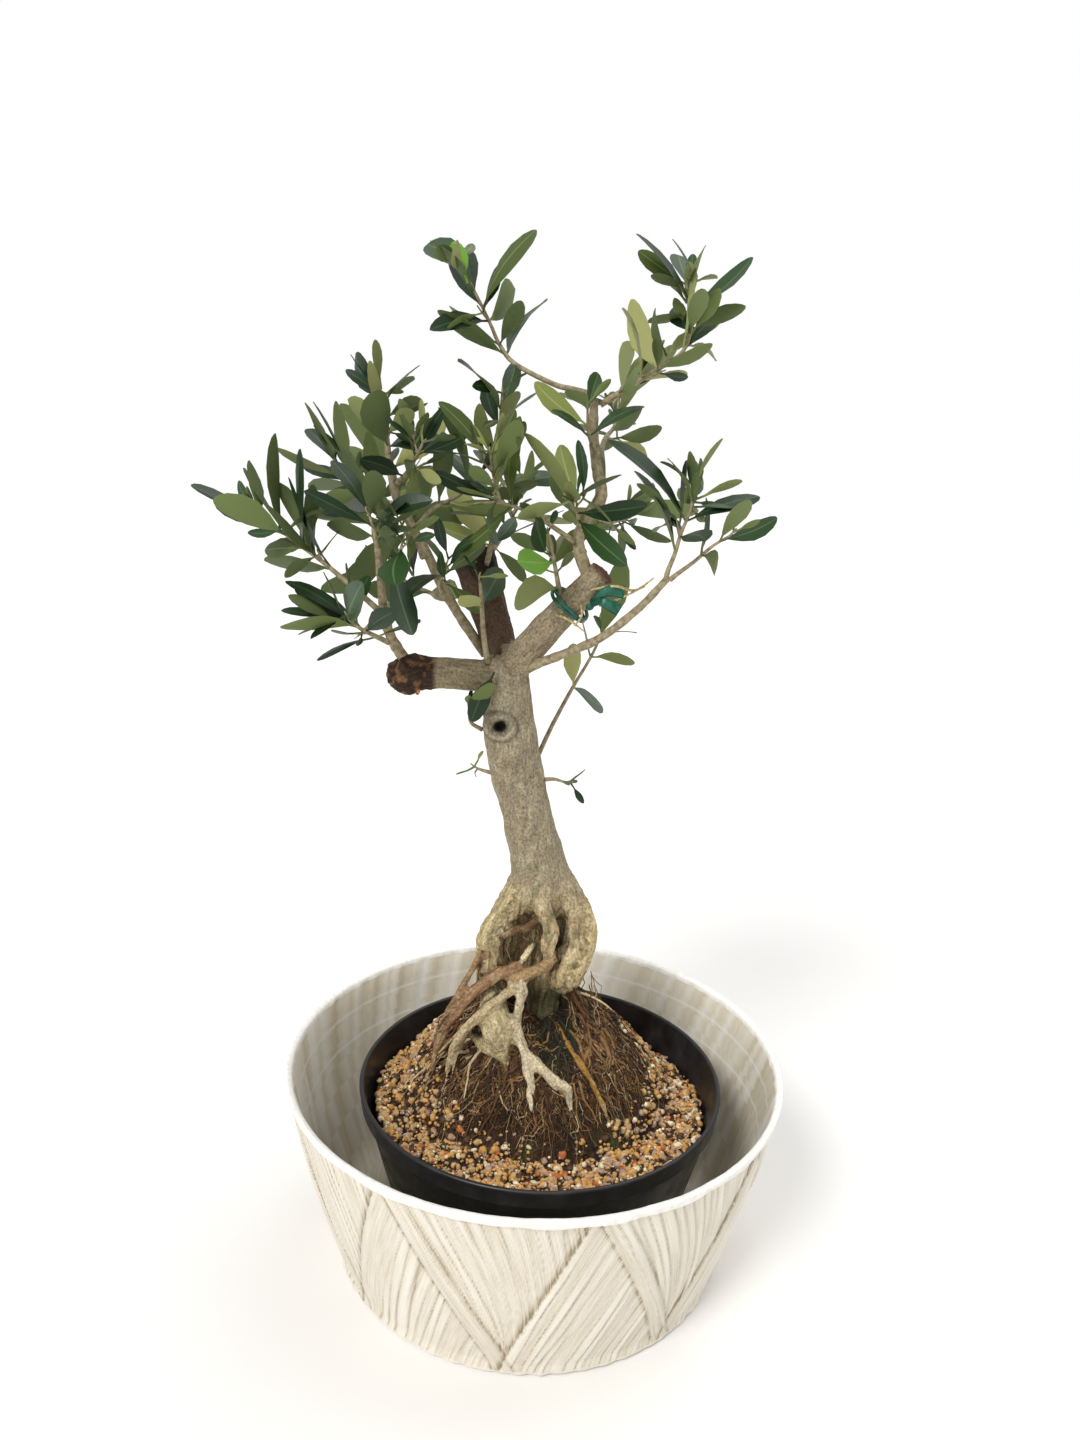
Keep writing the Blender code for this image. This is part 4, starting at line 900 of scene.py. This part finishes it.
def make_wood():
    """Trunk, root crown, boughs and thick roots as one barked skin."""
    parts = dict(grown_nodes([*WOOD, *ROOTS], WOOD_SWELL))
    for name, points in BURRS.items():
        parts[name] = bmesh.new()
        tube(parts[name], [point * MM for point in smooth_path(points, 3)], 10)
    kinds = list(parts)
    axes = []
    centres = []
    whole = bmesh.new()
    for kind, part in enumerate(parts.values()):
        axes.append(main_axis(np.array([vert.co[:] for vert in part.verts])) if kind else Vector((0, 0, 1)))
        centres += [(face.calc_center_median(), kind) for face in part.faces]
        mesh = bpy.data.meshes.new("grown")
        part.to_mesh(mesh)
        part.free()
        whole.from_mesh(mesh)
        bpy.data.meshes.remove(mesh)
    near = KDTree(len(centres))
    for index, (centre, _) in enumerate(centres):
        near.insert(centre, index)
    near.balance()
    skin = even_skin("wood", whole, WOOD_VOXEL)
    knobs = [vert for vert in skin.verts if vert.co.z < KNOB_TOP * MM and vert.co.x < -4 * MM]
    for verts, times in ((skin.verts, 2), (knobs, 6)):
        for _ in range(times):
            bmesh.ops.smooth_vert(skin, verts=verts, factor=0.5, use_axis_x=True, use_axis_y=True, use_axis_z=True)
    skin.normal_update()
    walls = BVHTree.FromBMesh(skin)
    grain = skin.verts.layers.float_vector.new("grain")
    tint = skin.verts.layers.float_vector.new("tint")
    moves = []
    for vert in skin.verts:
        kind = centres[near.find(vert.co)[1]][1]
        name = kinds[kind]
        axis = axes[kind]
        spot = vert.co / MM
        fibre = spot - axis * spot.dot(axis) * 0.72
        vert[grain] = fibre * MM
        rooty = 1.0 if kind >= len(WOOD) else smooth_step(ROOT_TOP - spot.z, 0, 30) if name == "trunk" else 0.0
        # How shut in each place is, for the painted shade and dirt in the hollows.
        hollow_shade = hollow_shade_at(walls, vert) if spot.z < ROOT_TOP + 4 else 0.0
        ridge = noise.noise(fibre / 2.6) + 0.6 * noise.noise(fibre / 1.3)
        rough = 1.0 if name in WOOD else 0.4
        lump = noise.noise(spot / 8) * (0.4 + 1.3 * rooty * rough)
        lump += noise.noise(spot / 4) * (0.25 + 0.7 * rooty * rough)
        crack = max(0.0, 0.2 - abs(noise.noise(fibre / 4.5 + Vector((9, 4, 2))))) * 5 * rooty * rough
        lift = -0.45 + (0.24 + 0.30 * rooty * rough) * ridge + 0.6 * lump - 0.9 * crack
        if name == "bough_left":
            knob = smooth_step(-52 - spot.x, 0, 6)
            lift += knob * (0.7 * noise.noise(spot / 3.0) + 0.5 * noise.noise(spot / 1.4) - 0.1)
            lift += 1.5 * math.exp(-(((spot.x + 63) / 6) ** 2))
        away = math.hypot(spot.x - SCAR_X, (spot.z - SCAR_Z) * 1.2) if spot.y < -3 else 99.0
        if away < 16:
            lift += 1.9 * math.exp(-(((away - 5.8) / 1.9) ** 2)) - 4.6 * math.exp(-((away / 2.8) ** 2))
        moves.append((vert, vert.normal * lift * MM))
        vert[tint] = wood_tint(name, spot, rooty, ridge - 1.6 * crack, away, hollow_shade)
    for vert, move in moves:
        vert.co += move
    settle(link_mesh("wood", skin, bark_material()), "trunk_bark", *WOOD, *ROOTS)
    make_resin(walls)


RESIN_AT = (-59.5, -13.0, 291.8)


def make_resin(walls):
    """A bead of hardened resin low on the burl's front."""
    spot = walls.find_nearest(Vector(RESIN_AT) * MM)[0]
    bm = bmesh.new()
    bmesh.ops.create_icosphere(bm, subdivisions=3, radius=1)
    for vert in bm.verts:
        drop = 1 + 0.12 * noise.noise(vert.co * 1.7)
        tall = 2.5 if vert.co.z < 0 else 2.0
        vert.co = spot + Vector((vert.co.x * 1.5, vert.co.y * 1.3, vert.co.z * tall)) * drop * MM
    # Resin set hard in the sun: glossy amber, clouded inside.
    stops = ((0.35, "#6E3410"), (0.65, "#CC7C30"))
    resin = speckled("hardened resin", "#A85A1E", 0.22, 700.0, 3.0, stops=stops, Coat_Weight=0.4)[0]
    settle(link_mesh("resin_bead", bm, resin), "trunk_bark")


BARK_TONES = {
    name: Vector(linear(colour)[:3])
    for name, colour in {
        "trunk": "#9B8E75", "crown": "#BBA57C", "cream": "#DDCBA2", "moss": "#5E6434", "dirt_and_shade": "#2C1B0E",
        "bough_left": "#9A8C70", "bough_right": "#998A70", "bough_back": "#5C4838", "burl": "#3A2A20",
        "burl_patch": "#7E5C3C", "cut": "#2A201A", "cut_right": "#5E3E2A", "pit_shade": "#150E08", "lichen_and_highlight": "#B9B093",
        "root_knob": "#BBAA80", "great_knob": "#C9B78E", "root_forked": "#D3C4A2", "root_diagonal": "#C7B38A",
        "root_left": "#A27E5C", "root_cross": "#A88A62", "root_right": "#A07838", "root_back": "#A88A60",
        "broken_stub": "#E2D0A6", "thin_root": "#9A7C58", "left_ridge": "#C2B084", "hanging_bark": "#6E5436",
        "bulb_fold": "#C6B286", "right_spur": "#6E4A2A", "low_left": "#AE9A78", "low_front": "#8A6A42",
    }.items()
}


def wood_tint(name, spot, rooty, ridge, from_scar, hollow_shade):
    """The colour of the bark at a place."""
    tone = BARK_TONES
    patch = noise.noise(spot / 9) + 0.6 * noise.noise(spot / 3.5)
    if name == "trunk":
        colour = tone["trunk"].lerp(tone["crown"], rooty)
        colour = colour.lerp(tone["cream"], rooty * smooth_step(patch, -0.1, 0.6) * 0.75)
        green = smooth_step(noise.noise(spot / 7 + Vector((3, 8, 1))), 0.15, 0.5)
        green *= 0.3 + 0.7 * smooth_step(spot.x, -16, 0)
        colour = colour.lerp(tone["moss"], 0.5 * green * smooth_step(220 - spot.z, 0, 14))
        # Moss darkened to near black under the right bulb: moss and painted shadow.
        under = smooth_step(152 - spot.z, 0, 14) * smooth_step(spot.x, -9, -3)
        colour = colour.lerp(tone["moss"] * 0.35, 0.9 * under)
        colour = colour.lerp(tone["lichen_and_highlight"], 0.35 * smooth_step(patch, 0.1, 0.6) * (1 - rooty))
    else:
        colour = tone[name].copy()
        colour = colour.lerp(tone["cream"], 0.3 * rooty * smooth_step(patch, 0.0, 0.6))
    if name == "bough_left":
        burl = tone["burl"].lerp(tone["burl_patch"], smooth_step(noise.noise(spot / 2.6), 0.0, 0.4))
        colour = colour.lerp(burl, smooth_step(-51 - spot.x, 0, 3))
    if name == "bough_back":
        colour = colour.lerp(tone["cut"], smooth_step(spot.z, 338, 350))
    if name == "bough_right":
        colour = colour.lerp(tone["cut_right"], smooth_step(spot.x + (spot.z - 350) * 0.9, 17, 22))
    if from_scar < 12:
        # Round the scar: the lichen tone lightens the raised ring, partly lichen and partly a painted highlight, and
        # painted shade darkens the grooves on both sides of it and the pit.
        colour = colour.lerp(tone["lichen_and_highlight"], 0.6 * math.exp(-(((from_scar - 5.8) / 1.9) ** 2)))
        colour = colour.lerp(tone["pit_shade"], 0.55 * math.exp(-(((from_scar - 8.6) / 0.8) ** 2)))
        colour = colour.lerp(tone["pit_shade"], 0.35 * math.exp(-(((from_scar - 4.9) / 0.5) ** 2)))
        colour = tone["pit_shade"].lerp(colour, smooth_step(from_scar, 2.6, 4.2))
    # Painted shade and dirt: the bark goes near black the more shut in a hollow the place is.
    colour = colour.lerp(tone["dirt_and_shade"], 0.92 * smooth_step(hollow_shade, 0.25, 0.85))
    return colour * max(0.35, 1 + 0.24 * ridge)


def bark_material():
    """Olive bark on an old grafted stem: dry and finely fissured, with dark cracks between paler plates."""
    material, tree, shader = surface("olive bark", "#9B8E75", 0.85, Specular_IOR_Level=0.3)
    grain = add(tree, "Attribute", attribute_name="grain")
    tint = add(tree, "Attribute", attribute_name="tint")
    fibres = add(
        tree, "TexNoise", {"Scale": 1100.0, "Detail": 6.0, "Roughness": 0.65}, {"Vector": grain.outputs["Vector"]}
    )
    place = add(tree, "TexCoord")
    pores = add(tree, "TexNoise", {"Scale": 900.0, "Detail": 3.0}, {"Vector": place.outputs["Object"]})
    both = add(tree, "Math", {}, {0: fibres.outputs["Fac"], 1: pores.outputs["Fac"]}, operation="ADD")
    shade = mapped(tree, both.outputs[0], 0.72, 1.28, 0.48, 1.45)
    toned = add(tree, "VectorMath", {}, {0: tint.outputs["Vector"], 1: shade}, operation="MULTIPLY")
    wire(tree, shader, toned.outputs[0], both.outputs[0], 0.8, 0.0009)
    return material


def twig_material():
    """Young olive wood: thin grey-brown bark with pale specks."""
    stops = ((0.32, "#75674C"), (0.5, "#958769"), (0.68, "#ADA183"))
    return speckled("young olive bark", "#85785A", 0.75, 450.0, 5.0, stops=stops, bump=(0.35, 0.0003))[0]


def knotted(points, spans, seed):
    """A limb's path with small swellings along it."""
    draw = random.Random(seed)
    path = [point * MM for point in smooth_path(points, spans)]
    for index in range(2, len(path) - 1):
        swelling = 0.13 * max(0.0, math.sin(index * 0.9 + seed)) ** 6 + draw.uniform(-0.03, 0.03)
        path[index][3] *= 1 + swelling
        for axis in range(3):
            path[index][axis] += draw.uniform(-0.08, 0.08) * MM
    return path


def make_branches(bark):
    """The four young branches as one piece."""
    bm = bmesh.new()
    for seed, points in enumerate(BRANCHES.values()):
        tube(bm, knotted(points, 8, seed), 12)
    settle(link_mesh("branches", bm, bark), "trunk_bark", *BRANCHES)


# Foliage

def along(path, share):
    """Point, direction and steady side vector at a share of a path's length."""
    lengths = [(second - first).length for first, second in zip(path, path[1:])]
    target = share * sum(lengths)
    side = (path[1] - path[0]).orthogonal().normalized()
    for first, second, length in zip(path, path[1:], lengths):
        tangent = (second - first).normalized()
        side = (side - tangent * side.dot(tangent)).normalized()
        if target <= length + 1e-9:
            return first + tangent * target, tangent, side
        target -= length
    return path[-1], tangent, side


Leaf = namedtuple("Leaf", "base along face length width bend")


def leaves_on(shoot):
    """The shoot's leaves: opposite pairs, each turned a quarter from the last and varied by its seed."""
    path = smooth_path(shoot.stem, 4)
    spaces = max(1, len(shoot.seeds) - 1)
    for pair, seed in enumerate(shoot.seeds):
        draw = random.Random(seed)
        part = (pair + draw.uniform(-0.4, 0.2)) / spaces
        base, tangent, side = along(path, min(1.0, shoot.first + (1 - shoot.first) * part))
        turn = shoot.roll + 90 * pair + draw.uniform(-30, 30)
        for half in (0, 180):
            angle = math.radians(turn + half + draw.uniform(-20, 20))
            spread = math.radians(draw.uniform(25, 88) * (1 - 0.3 * max(0.0, part)))
            length = shoot.leaf * draw.uniform(0.65, 1.28)
            width = length * draw.uniform(*LEAF_SLENDER)
            twist = math.radians(draw.uniform(-80, 80))
            bend = draw.uniform(-0.25, 0.55)
            out = side * math.cos(angle) + tangent.cross(side) * math.sin(angle)
            heading = tangent * math.cos(spread) + out * math.sin(spread)
            face = (tangent - heading * tangent.dot(heading)).normalized()
            face = Matrix.Rotation(twist, 3, heading) @ face
            yield Leaf(base, heading, face, length, width, bend)


def leaf_point(leaf, across, distance, lift):
    """Where a point of the flat leaf lands once it is bent and set on its stem."""
    blade = max(0.0, distance - PETIOLE) / leaf.length
    sag = leaf.bend * leaf.length * blade**2 / 2
    sideways = leaf.along.cross(leaf.face)
    return leaf.base + sideways * across + leaf.along * distance + leaf.face * (lift - sag)


LEAF_ROOM = ((0.0, 0.14), (0.30, 0.90), (0.74, 0.90))
LEAF_THICK = 0.55
LEAF_CLEAR = 0.45  # how far a leaf keeps off what grew before it
LEAF_SHARP = 55
PETIOLE_RADIUS = 0.5


def leaf_room(bm, leaf, swell):
    """The space that the source's leaf takes, grown all round."""
    corners = []
    rings = [(0.0, PETIOLE_RADIUS, PETIOLE_RADIUS)]
    rings += [(PETIOLE + share * leaf.length, wide * leaf.width, LEAF_THICK) for share, wide in LEAF_ROOM]
    for distance, wide, deep in rings:
        wide += swell
        section = ((-wide, 0.14 * wide + swell), (wide, 0.14 * wide + swell), (0.0, -deep - swell))
        corners.append([bm.verts.new(leaf_point(leaf, x, distance, z) * MM) for x, z in section])
    tip = bm.verts.new(leaf_point(leaf, 0.0, PETIOLE + leaf.length + swell, 0.0) * MM)
    for first, second in zip(corners, corners[1:]):
        for corner in range(3):
            after = (corner + 1) % 3
            bm.faces.new((first[corner], first[after], second[after], second[corner]))
    for corner in range(3):
        bm.faces.new((corners[-1][corner], corners[-1][(corner + 1) % 3], tip))
    bm.faces.new(corners[0])


def kept_leaves():
    """The leaves of each mass that clear the limbs, the other stems and the leaves before them."""
    solids = []
    for name in (*WOOD, *ROOTS, "tie", *BRANCHES):
        bm = bmesh.new()
        bm.from_mesh(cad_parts[name].data)
        solids.append(BVHTree.FromBMesh(bm))
        bm.free()
    stems = {}
    for name, shoots in MASSES.items():
        bm = bmesh.new()
        for shoot in shoots:
            tube(bm, stem_path(shoot, 2), 3, 0.3 * MM)
        stems[name] = BVHTree.FromBMesh(bm)
        bm.free()
    kept = []
    found = {}
    for name, shoots in MASSES.items():
        obstacles = [*solids, *(tree for other, tree in stems.items() if other != name), *kept]
        grown = bmesh.new()
        found[name] = []
        for leaf in (leaf for shoot in shoots for leaf in leaves_on(shoot)):
            room = bmesh.new()
            leaf_room(room, leaf, LEAF_CLEAR)
            tree = BVHTree.FromBMesh(room)
            if not any(tree.overlap(obstacle) for obstacle in obstacles):
                found[name].append(leaf)
                leaf_room(grown, leaf, LEAF_CLEAR)
            room.free()
        if grown.faces:
            kept.append(BVHTree.FromBMesh(grown))
        grown.free()
    return found


def stem_path(shoot, spans):
    """The stem's points with its radius, in metres."""
    path = smooth_path(shoot.stem, spans)
    start, end = shoot.thick
    last = len(path) - 1
    return [Vector((*(point * MM), (start + (end - start) * index / last) * MM)) for index, point in enumerate(path)]


BLADE_ROWS = (0.0, 0.08, 0.24, 0.46, 0.68, 0.87, 0.965, 1.0)
RIB = 0.07


def leaf_template():
    """A leaf of unit size as arrays: its points as (across, row, side), its faces and their materials.

    Across runs from margin to margin with the midrib as a strip, and side is 0 above and 1 under the midrib. The
    first two rows are the stalk.
    """
    rows = len(BLADE_ROWS) + 1
    bm = bmesh.new()
    for columns, side in (((-1.0, -RIB, RIB, 1.0), 0), ((-1.0, 0.0, 1.0), 1)):
        sheet = bmesh.ops.create_grid(bm, x_segments=len(columns) - 1, y_segments=rows - 1, size=1)["verts"]
        for vert in sheet:
            across = columns[round((vert.co.x + 1) / 2 * (len(columns) - 1))]
            vert.co = (across, round((vert.co.y + 1) / 2 * (rows - 1)), side * (abs(across) < 1))
        for face in {face for vert in sheet for face in vert.link_faces}:
            face.material_index = side
            if side == 0 and abs(face.calc_center_median().x) < RIB:
                face.material_index = 2
    bmesh.ops.remove_doubles(bm, verts=bm.verts, dist=0.001)
    bmesh.ops.holes_fill(bm, edges=[edge for edge in bm.edges if edge.is_boundary], sides=0)
    bmesh.ops.recalc_face_normals(bm, faces=bm.faces)
    upper = next(face for face in bm.faces if face.material_index == 2)
    if upper.normal.z > 0:
        bmesh.ops.reverse_faces(bm, faces=bm.faces)
    bm.verts.index_update()
    points = np.array([vert.co[:] for vert in bm.verts])
    faces = [[vert.index for vert in face.verts] for face in bm.faces]
    slots = [face.material_index for face in bm.faces]
    bm.free()
    return points, faces, slots


def blade_outline(share):
    """Half width of the blade at a share of its length: widest past the middle, with a rounded tip."""
    if not 0 < share < 1:
        return 0.10
    return 0.92 * math.sin(math.pi * share**1.2) ** 0.5 * (0.70 + 0.30 * min(1.0, share / 0.4))


# How a blade folds at its midrib, twists toward its tip in radians, and curves sideways as a share of its length.
LEAF_FOLD = (-0.18, 0.30)
LEAF_SPIN = (-0.45, 0.45)
LEAF_SABRE = (-0.06, 0.06)


def leaf_points(leaf, points, draw):
    """The template's points on this leaf, in metres."""
    fold = draw.uniform(*LEAF_FOLD)
    spin = draw.uniform(*LEAF_SPIN)
    sabre = draw.uniform(*LEAF_SABRE) * leaf.length
    result = np.empty((len(points), 3))
    for index, (across, row, side) in enumerate(points):
        row = round(row)
        share = BLADE_ROWS[max(0, row - 1)]
        if row == 0:
            distance = 0.0
            wide = PETIOLE_RADIUS
        else:
            distance = PETIOLE * 0.9 + share * (leaf.length + PETIOLE * 0.1)
            wide = max(PETIOLE_RADIUS * 0.7, leaf.width * blade_outline(share))
        thick = 0.22 + 0.55 * (1 - share) ** 3 + 0.15
        lift = -0.9 * thick * side if side > 0.5 else (0.12 if abs(across) < 0.5 else fold * wide)
        angle = spin * share
        sideways = across * wide
        across_turned = sideways * math.cos(angle) + sabre * math.sin(math.pi * share)
        result[index] = leaf_point(leaf, across_turned, distance, lift + sideways * math.sin(angle))
    return result * MM


def small_shoots(shoots):
    """Short side twigs and the growing tips, each with leaves smaller than the shoot's own."""
    for shoot in shoots:
        path = smooth_path(shoot.stem, 4)
        draw = random.Random(shoot.seeds[0] * 7 + 5)
        ends = [(1.0, 4.0, 0.45, 1)]
        ends += [
            (shoot.first + (1 - shoot.first) * (pair + draw.uniform(0.1, 0.6)) / len(shoot.seeds),
             draw.uniform(5, 12), draw.uniform(0.4, 0.65), draw.randint(1, 2))
            for pair in range(len(shoot.seeds)) if len(shoot.seeds) > 1 and draw.random() < 0.5
        ]
        for share, reach, size, pairs in ends:
            base, tangent, side = along(path, min(1.0, share))
            turn = draw.uniform(0, math.tau)
            out = side * math.cos(turn) + tangent.cross(side) * math.sin(turn)
            lean = 0.25 if share == 1.0 else draw.uniform(0.6, 1.1)
            heading = (tangent + out * lean + Vector((0, 0, 0.25))).normalized()
            middle = base + heading * reach * 0.5 + out * draw.uniform(-0.6, 0.6)
            stem = tuple(tuple(point) for point in (base, middle, base + heading * reach))
            seeds = tuple(draw.randint(1, 9999) for _ in range(pairs))
            yield Shoot(stem, (0.55, 0.35), 0.55, shoot.leaf * size, draw.uniform(0, 180), seeds)


def inside_reach(leaf):
    """Whether the leaf's tip stays within the reach of the solids."""
    tip = leaf_point(leaf, 0, PETIOLE + leaf.length, 0) * MM
    return all(low <= place <= high for low, place, high in zip(cad_box[0], tip, cad_box[1]))


def leaf_material(name, colour, under):
    """An olive leaf: a waxy upper side and, below, a felt of silvery scales."""
    rough, gloss = (0.6, 0.2) if under else (0.38, 0.4)
    return speckled(name, colour, rough, 260.0, 3.0, bump=(0.25, 0.0004), Specular_IOR_Level=gloss)[0]


# Leaves that the photo shows singly: foot, tip, the way the upper side faces, width, tone.
SINGLE_LEAVES = (
    ((-25.5, -13, 303), (-35.0, -18, 280.5), (0.3, -0.9, 0.3), 5.0, "dark"),
    ((-41.5, -5.0, 468.0), (-47.3, -5.0, 484.5), (0.2, -0.9, 0.4), 4.8, "new"),
)


def single_leaves():
    """The single leaves with their tones."""
    for foot, tip, face, width, tone in SINGLE_LEAVES:
        heading = (Vector(tip) - Vector(foot)).normalized()
        upper = (Vector(face) - heading * heading.dot(Vector(face))).normalized()
        length = (Vector(tip) - Vector(foot)).length - PETIOLE
        yield Leaf(Vector(foot), heading, upper, length, width, 0.1), tone


def make_foliage(bark):
    """The leaves as one piece and the twigs as another, mass by mass."""
    points, faces, slots = leaf_template()
    names = list(TONES)
    materials = []
    for name in names:
        upper, under = TONES[name]
        materials.append(leaf_material(name + " leaf upper side", upper, False))
        materials.append(leaf_material(name + " leaf underside", under, True))
        materials.append(leaf_material(name + " leaf midrib", MIDRIBS[name], False))
    twigs = bmesh.new()
    verts = []
    polygons = []
    indices = []
    total = 0
    for number, (name, leaves) in enumerate(kept_leaves().items()):
        mix = "light" if name in LIGHT_MASSES else "dark" if name in DARK_MASSES else "mixed"
        draw = random.Random(number * 31 + 3)
        shoots = MASSES[name]
        for shoot in shoots:
            tube(twigs, stem_path(shoot, 5), 8)
        small = list(small_shoots(shoots))
        for shoot in small:
            tube(twigs, stem_path(shoot, 3), 5)
        extra = [leaf for shoot in small for leaf in leaves_on(shoot) if inside_reach(leaf)]
        toned = [(leaf, draw.choices(range(len(names)), MIXES[mix])[0]) for leaf in [*leaves, *extra]]
        if name == "leaves_top_left":
            toned += [(leaf, names.index(tone)) for leaf, tone in single_leaves()]
        for leaf, tone in toned:
            blade = leaf_points(leaf, points, draw)
            while blade[:, 2].max() > cad_box[1][2]:
                blade = leaf_points(leaf._replace(bend=leaf.bend + 0.15), points, draw)
            verts.append(blade)
            polygons += [[corner + total for corner in face] for face in faces]
            indices += [tone * 3 + slot for slot in slots]
            total += len(points)
    mesh = bpy.data.meshes.new("leaves")
    mesh.from_pydata(np.concatenate(verts), [], polygons)
    mesh.polygons.foreach_set("material_index", indices)
    leaves = link_object(mesh, *materials)
    mesh.set_sharp_from_angle(angle=math.radians(LEAF_SHARP))
    settle(leaves, "olive_leaf", *MASSES)
    settle(link_mesh("twigs", twigs, bark), "trunk_bark")


# Tie

TIE_AT = 0.72
TIE_RADIUS = 1.1
BOUGH_RIGHT = ((-19, -1, 302, 8.6), (-8, -6, 316, 7.7), (5, -10, 332, 7.0), (21, -16, 350, 6.2))


# The tie's two flat tails and the raffia left under it: x, y, z, half width.
TAILS = (
    ((20, -24, 341.5, 1.8), (25, -25, 343.5, 2.6), (30.3, -24.5, 342.8, 2.9)),
    ((20, -24, 338.5, 1.8), (24, -25.5, 337.5, 2.6), (28.5, -25, 335.2, 2.8)),
)
STRAWS = (
    ((16, -21, 343, 0.5), (26, -25, 345.5, 0.6), (35, -25, 344, 0.6), (42.6, -26, 349.8, 0.3)),
    ((20, -22, 336, 0.4), (30, -25, 341, 0.5), (39, -26, 346, 0.3)),
    ((1, -16.6, 331, 0.5), (7, -18.5, 329, 0.6), (13.8, -20, 324.4, 0.3)),
    ((12, -18.2, 336, 0.4), (12.5, -19.5, 331, 0.5), (9.5, -20, 326.5, 0.3)),
)


def tape(bm, path, thick):
    """A closed flat tape along a path whose fourth value is its half width, its face turned to the front."""
    rings = []
    for point, ahead in zip(path, tangents(path)):
        across = ahead.cross(Vector((0.15, -1, 0.3))).normalized()
        out = across.cross(ahead)
        corners = [(1, 0), (0.6, 1), (-0.6, 1), (-1, 0), (-0.6, -1), (0.6, -1)]
        places = [point.xyz + across * point[3] * wide + out * thick / 2 * deep for wide, deep in corners]
        rings.append([bm.verts.new(place * MM) for place in places])
    skin_rings(bm, rings)
    bmesh.ops.recalc_face_normals(bm, faces=bm.faces)


def make_tie():
    """A soft tie wound round the right bough, with its knot and tails."""
    path = smooth_path(BOUGH_RIGHT, 12)
    index = round(TIE_AT * (len(path) - 1))
    centre = path[index]
    axis = (path[index + 1].xyz - path[index - 1].xyz).normalized()
    side = axis.orthogonal().normalized()
    other = axis.cross(side)
    reach = centre[3] + 1.6 + TIE_RADIUS
    bm = bmesh.new()
    for shift in (-0.9, 0.8):
        ring = []
        for turn in range(49):
            angle = math.tau * turn / 48
            out = side * math.cos(angle) + other * math.sin(angle)
            spot = centre.xyz + out * reach + axis * (shift + 0.5 * math.sin(angle * 2 + shift))
            ring.append(Vector((*(spot * MM), 0.85 * MM)))
        tube(bm, ring, 8)
    knot = centre.xyz + (axis * 0.2 + Vector((0.75, -0.4, -0.1))).normalized() * reach
    bmesh.ops.create_icosphere(
        bm, subdivisions=3, radius=1,
        matrix=Matrix.Translation(knot * MM) @ Matrix.Diagonal((2.2 * MM, 2.0 * MM, 2.4 * MM, 1)),
    )
    for tail in TAILS:
        tape(bm, smooth_path((Vector((*knot, 1.4)), *tail), 8), 0.5)
    settle(link_mesh("tie_band", bm, tie_material()), "tie_tape", "tie")
    straws = bmesh.new()
    for straw in STRAWS:
        tape(straws, smooth_path(straw, 6), 0.3)
    settle(link_mesh("raffia_strands", straws, raffia_material()), "tie_tape")


def tie_material():
    """Soft tube of flexible PVC tie: smooth, a little waxy."""
    stops = ((0.35, "#0A4636"), (0.7, "#1C7058"))
    return speckled("flexible PVC tie", "#0E5A46", 0.38, 300.0, 3.0, stops=stops, IOR=1.52)[0]


def raffia_material():
    """Split raffia leaf, dried to straw: matt, with darker fibres."""
    return speckled("dry raffia", "#C9B47A", 0.7, 800.0, 4.0, stops=((0.35, "#A88F55"), (0.65, "#DCCB98")))[0]


# Stage

SKY_LIGHT = 0.62  # how strongly the studio's walls light the plant; the camera sees them white
FLOOR_SIZE = 6
# The lamps: the way to each, how wide it looks in degrees, and its strength.
SUNS = {"key": ((-0.7, -1.0, 1.2), 20, 1.75), "top": ((0.5, 0.4, 1.5), 40, 0.9)}


def make_stage():
    """A pale floor and soft studio light from the upper left and from above."""
    bm = bmesh.new()
    bmesh.ops.create_grid(bm, x_segments=1, y_segments=1, size=FLOOR_SIZE)
    link_mesh("floor", bm, surface("painted floor", "#F3F2F0", 0.9)[0])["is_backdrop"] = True
    world = bpy.data.worlds.new("studio")
    world.use_nodes = True
    background = world.node_tree.nodes["Background"]
    background.inputs["Color"].default_value = (1.0, 1.0, 1.0, 1.0)
    seen = add(world.node_tree, "LightPath")
    strength = mapped(world.node_tree, seen.outputs["Is Camera Ray"], 0.0, 1.0, SKY_LIGHT, 1.0)
    world.node_tree.links.new(strength, background.inputs["Strength"])
    bpy.context.scene.world = world
    bpy.context.scene.view_settings.view_transform = "Standard"
    for name, (place, soft, power) in SUNS.items():
        light = bpy.data.lights.new(name, "SUN")
        light.energy = power
        light.angle = math.radians(soft)
        lamp = bpy.data.objects.new(name, light)
        lamp.rotation_euler = Vector(place).to_track_quat("Z", "Y").to_euler()
        bpy.context.scene.collection.objects.link(lamp)




def make_camera():
    """The photograph's camera: it looks a little down on the tree and leans slightly."""
    pitch = math.radians(CAMERA_PITCH)
    roll = math.radians(CAMERA_ROLL)
    ahead = Vector((0, math.cos(pitch), -math.sin(pitch)))
    level = Vector((1, 0, 0))
    up = level.cross(ahead)
    right = level * math.cos(roll) + up * math.sin(roll)
    above = up * math.cos(roll) - level * math.sin(roll)
    data = bpy.data.cameras.new("camera")
    data.sensor_fit = "VERTICAL"
    data.sensor_height = SENSOR
    data.lens = FOCAL_PIXELS / IMAGE_HEIGHT * SENSOR
    data.clip_start = 0.01
    camera = bpy.data.objects.new("camera", data)
    camera.matrix_world = Matrix.Translation(CAMERA_AT) @ Matrix((right, above, -ahead)).transposed().to_4x4()
    bpy.context.scene.collection.objects.link(camera)
    bpy.context.scene.camera = camera


make_camera()
make_stage()
make_cover_pot()
make_nursery_pot()
make_soil()
make_grit()
make_rootlets()
make_hanging_roots()
make_wood()
young_bark = twig_material()
make_branches(young_bark)
make_foliage(young_bark)
make_tie()

boxes = {"cad": cad_box, "visual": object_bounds()}
{name: [list(corner) for corner in box] for name, box in boxes.items()}
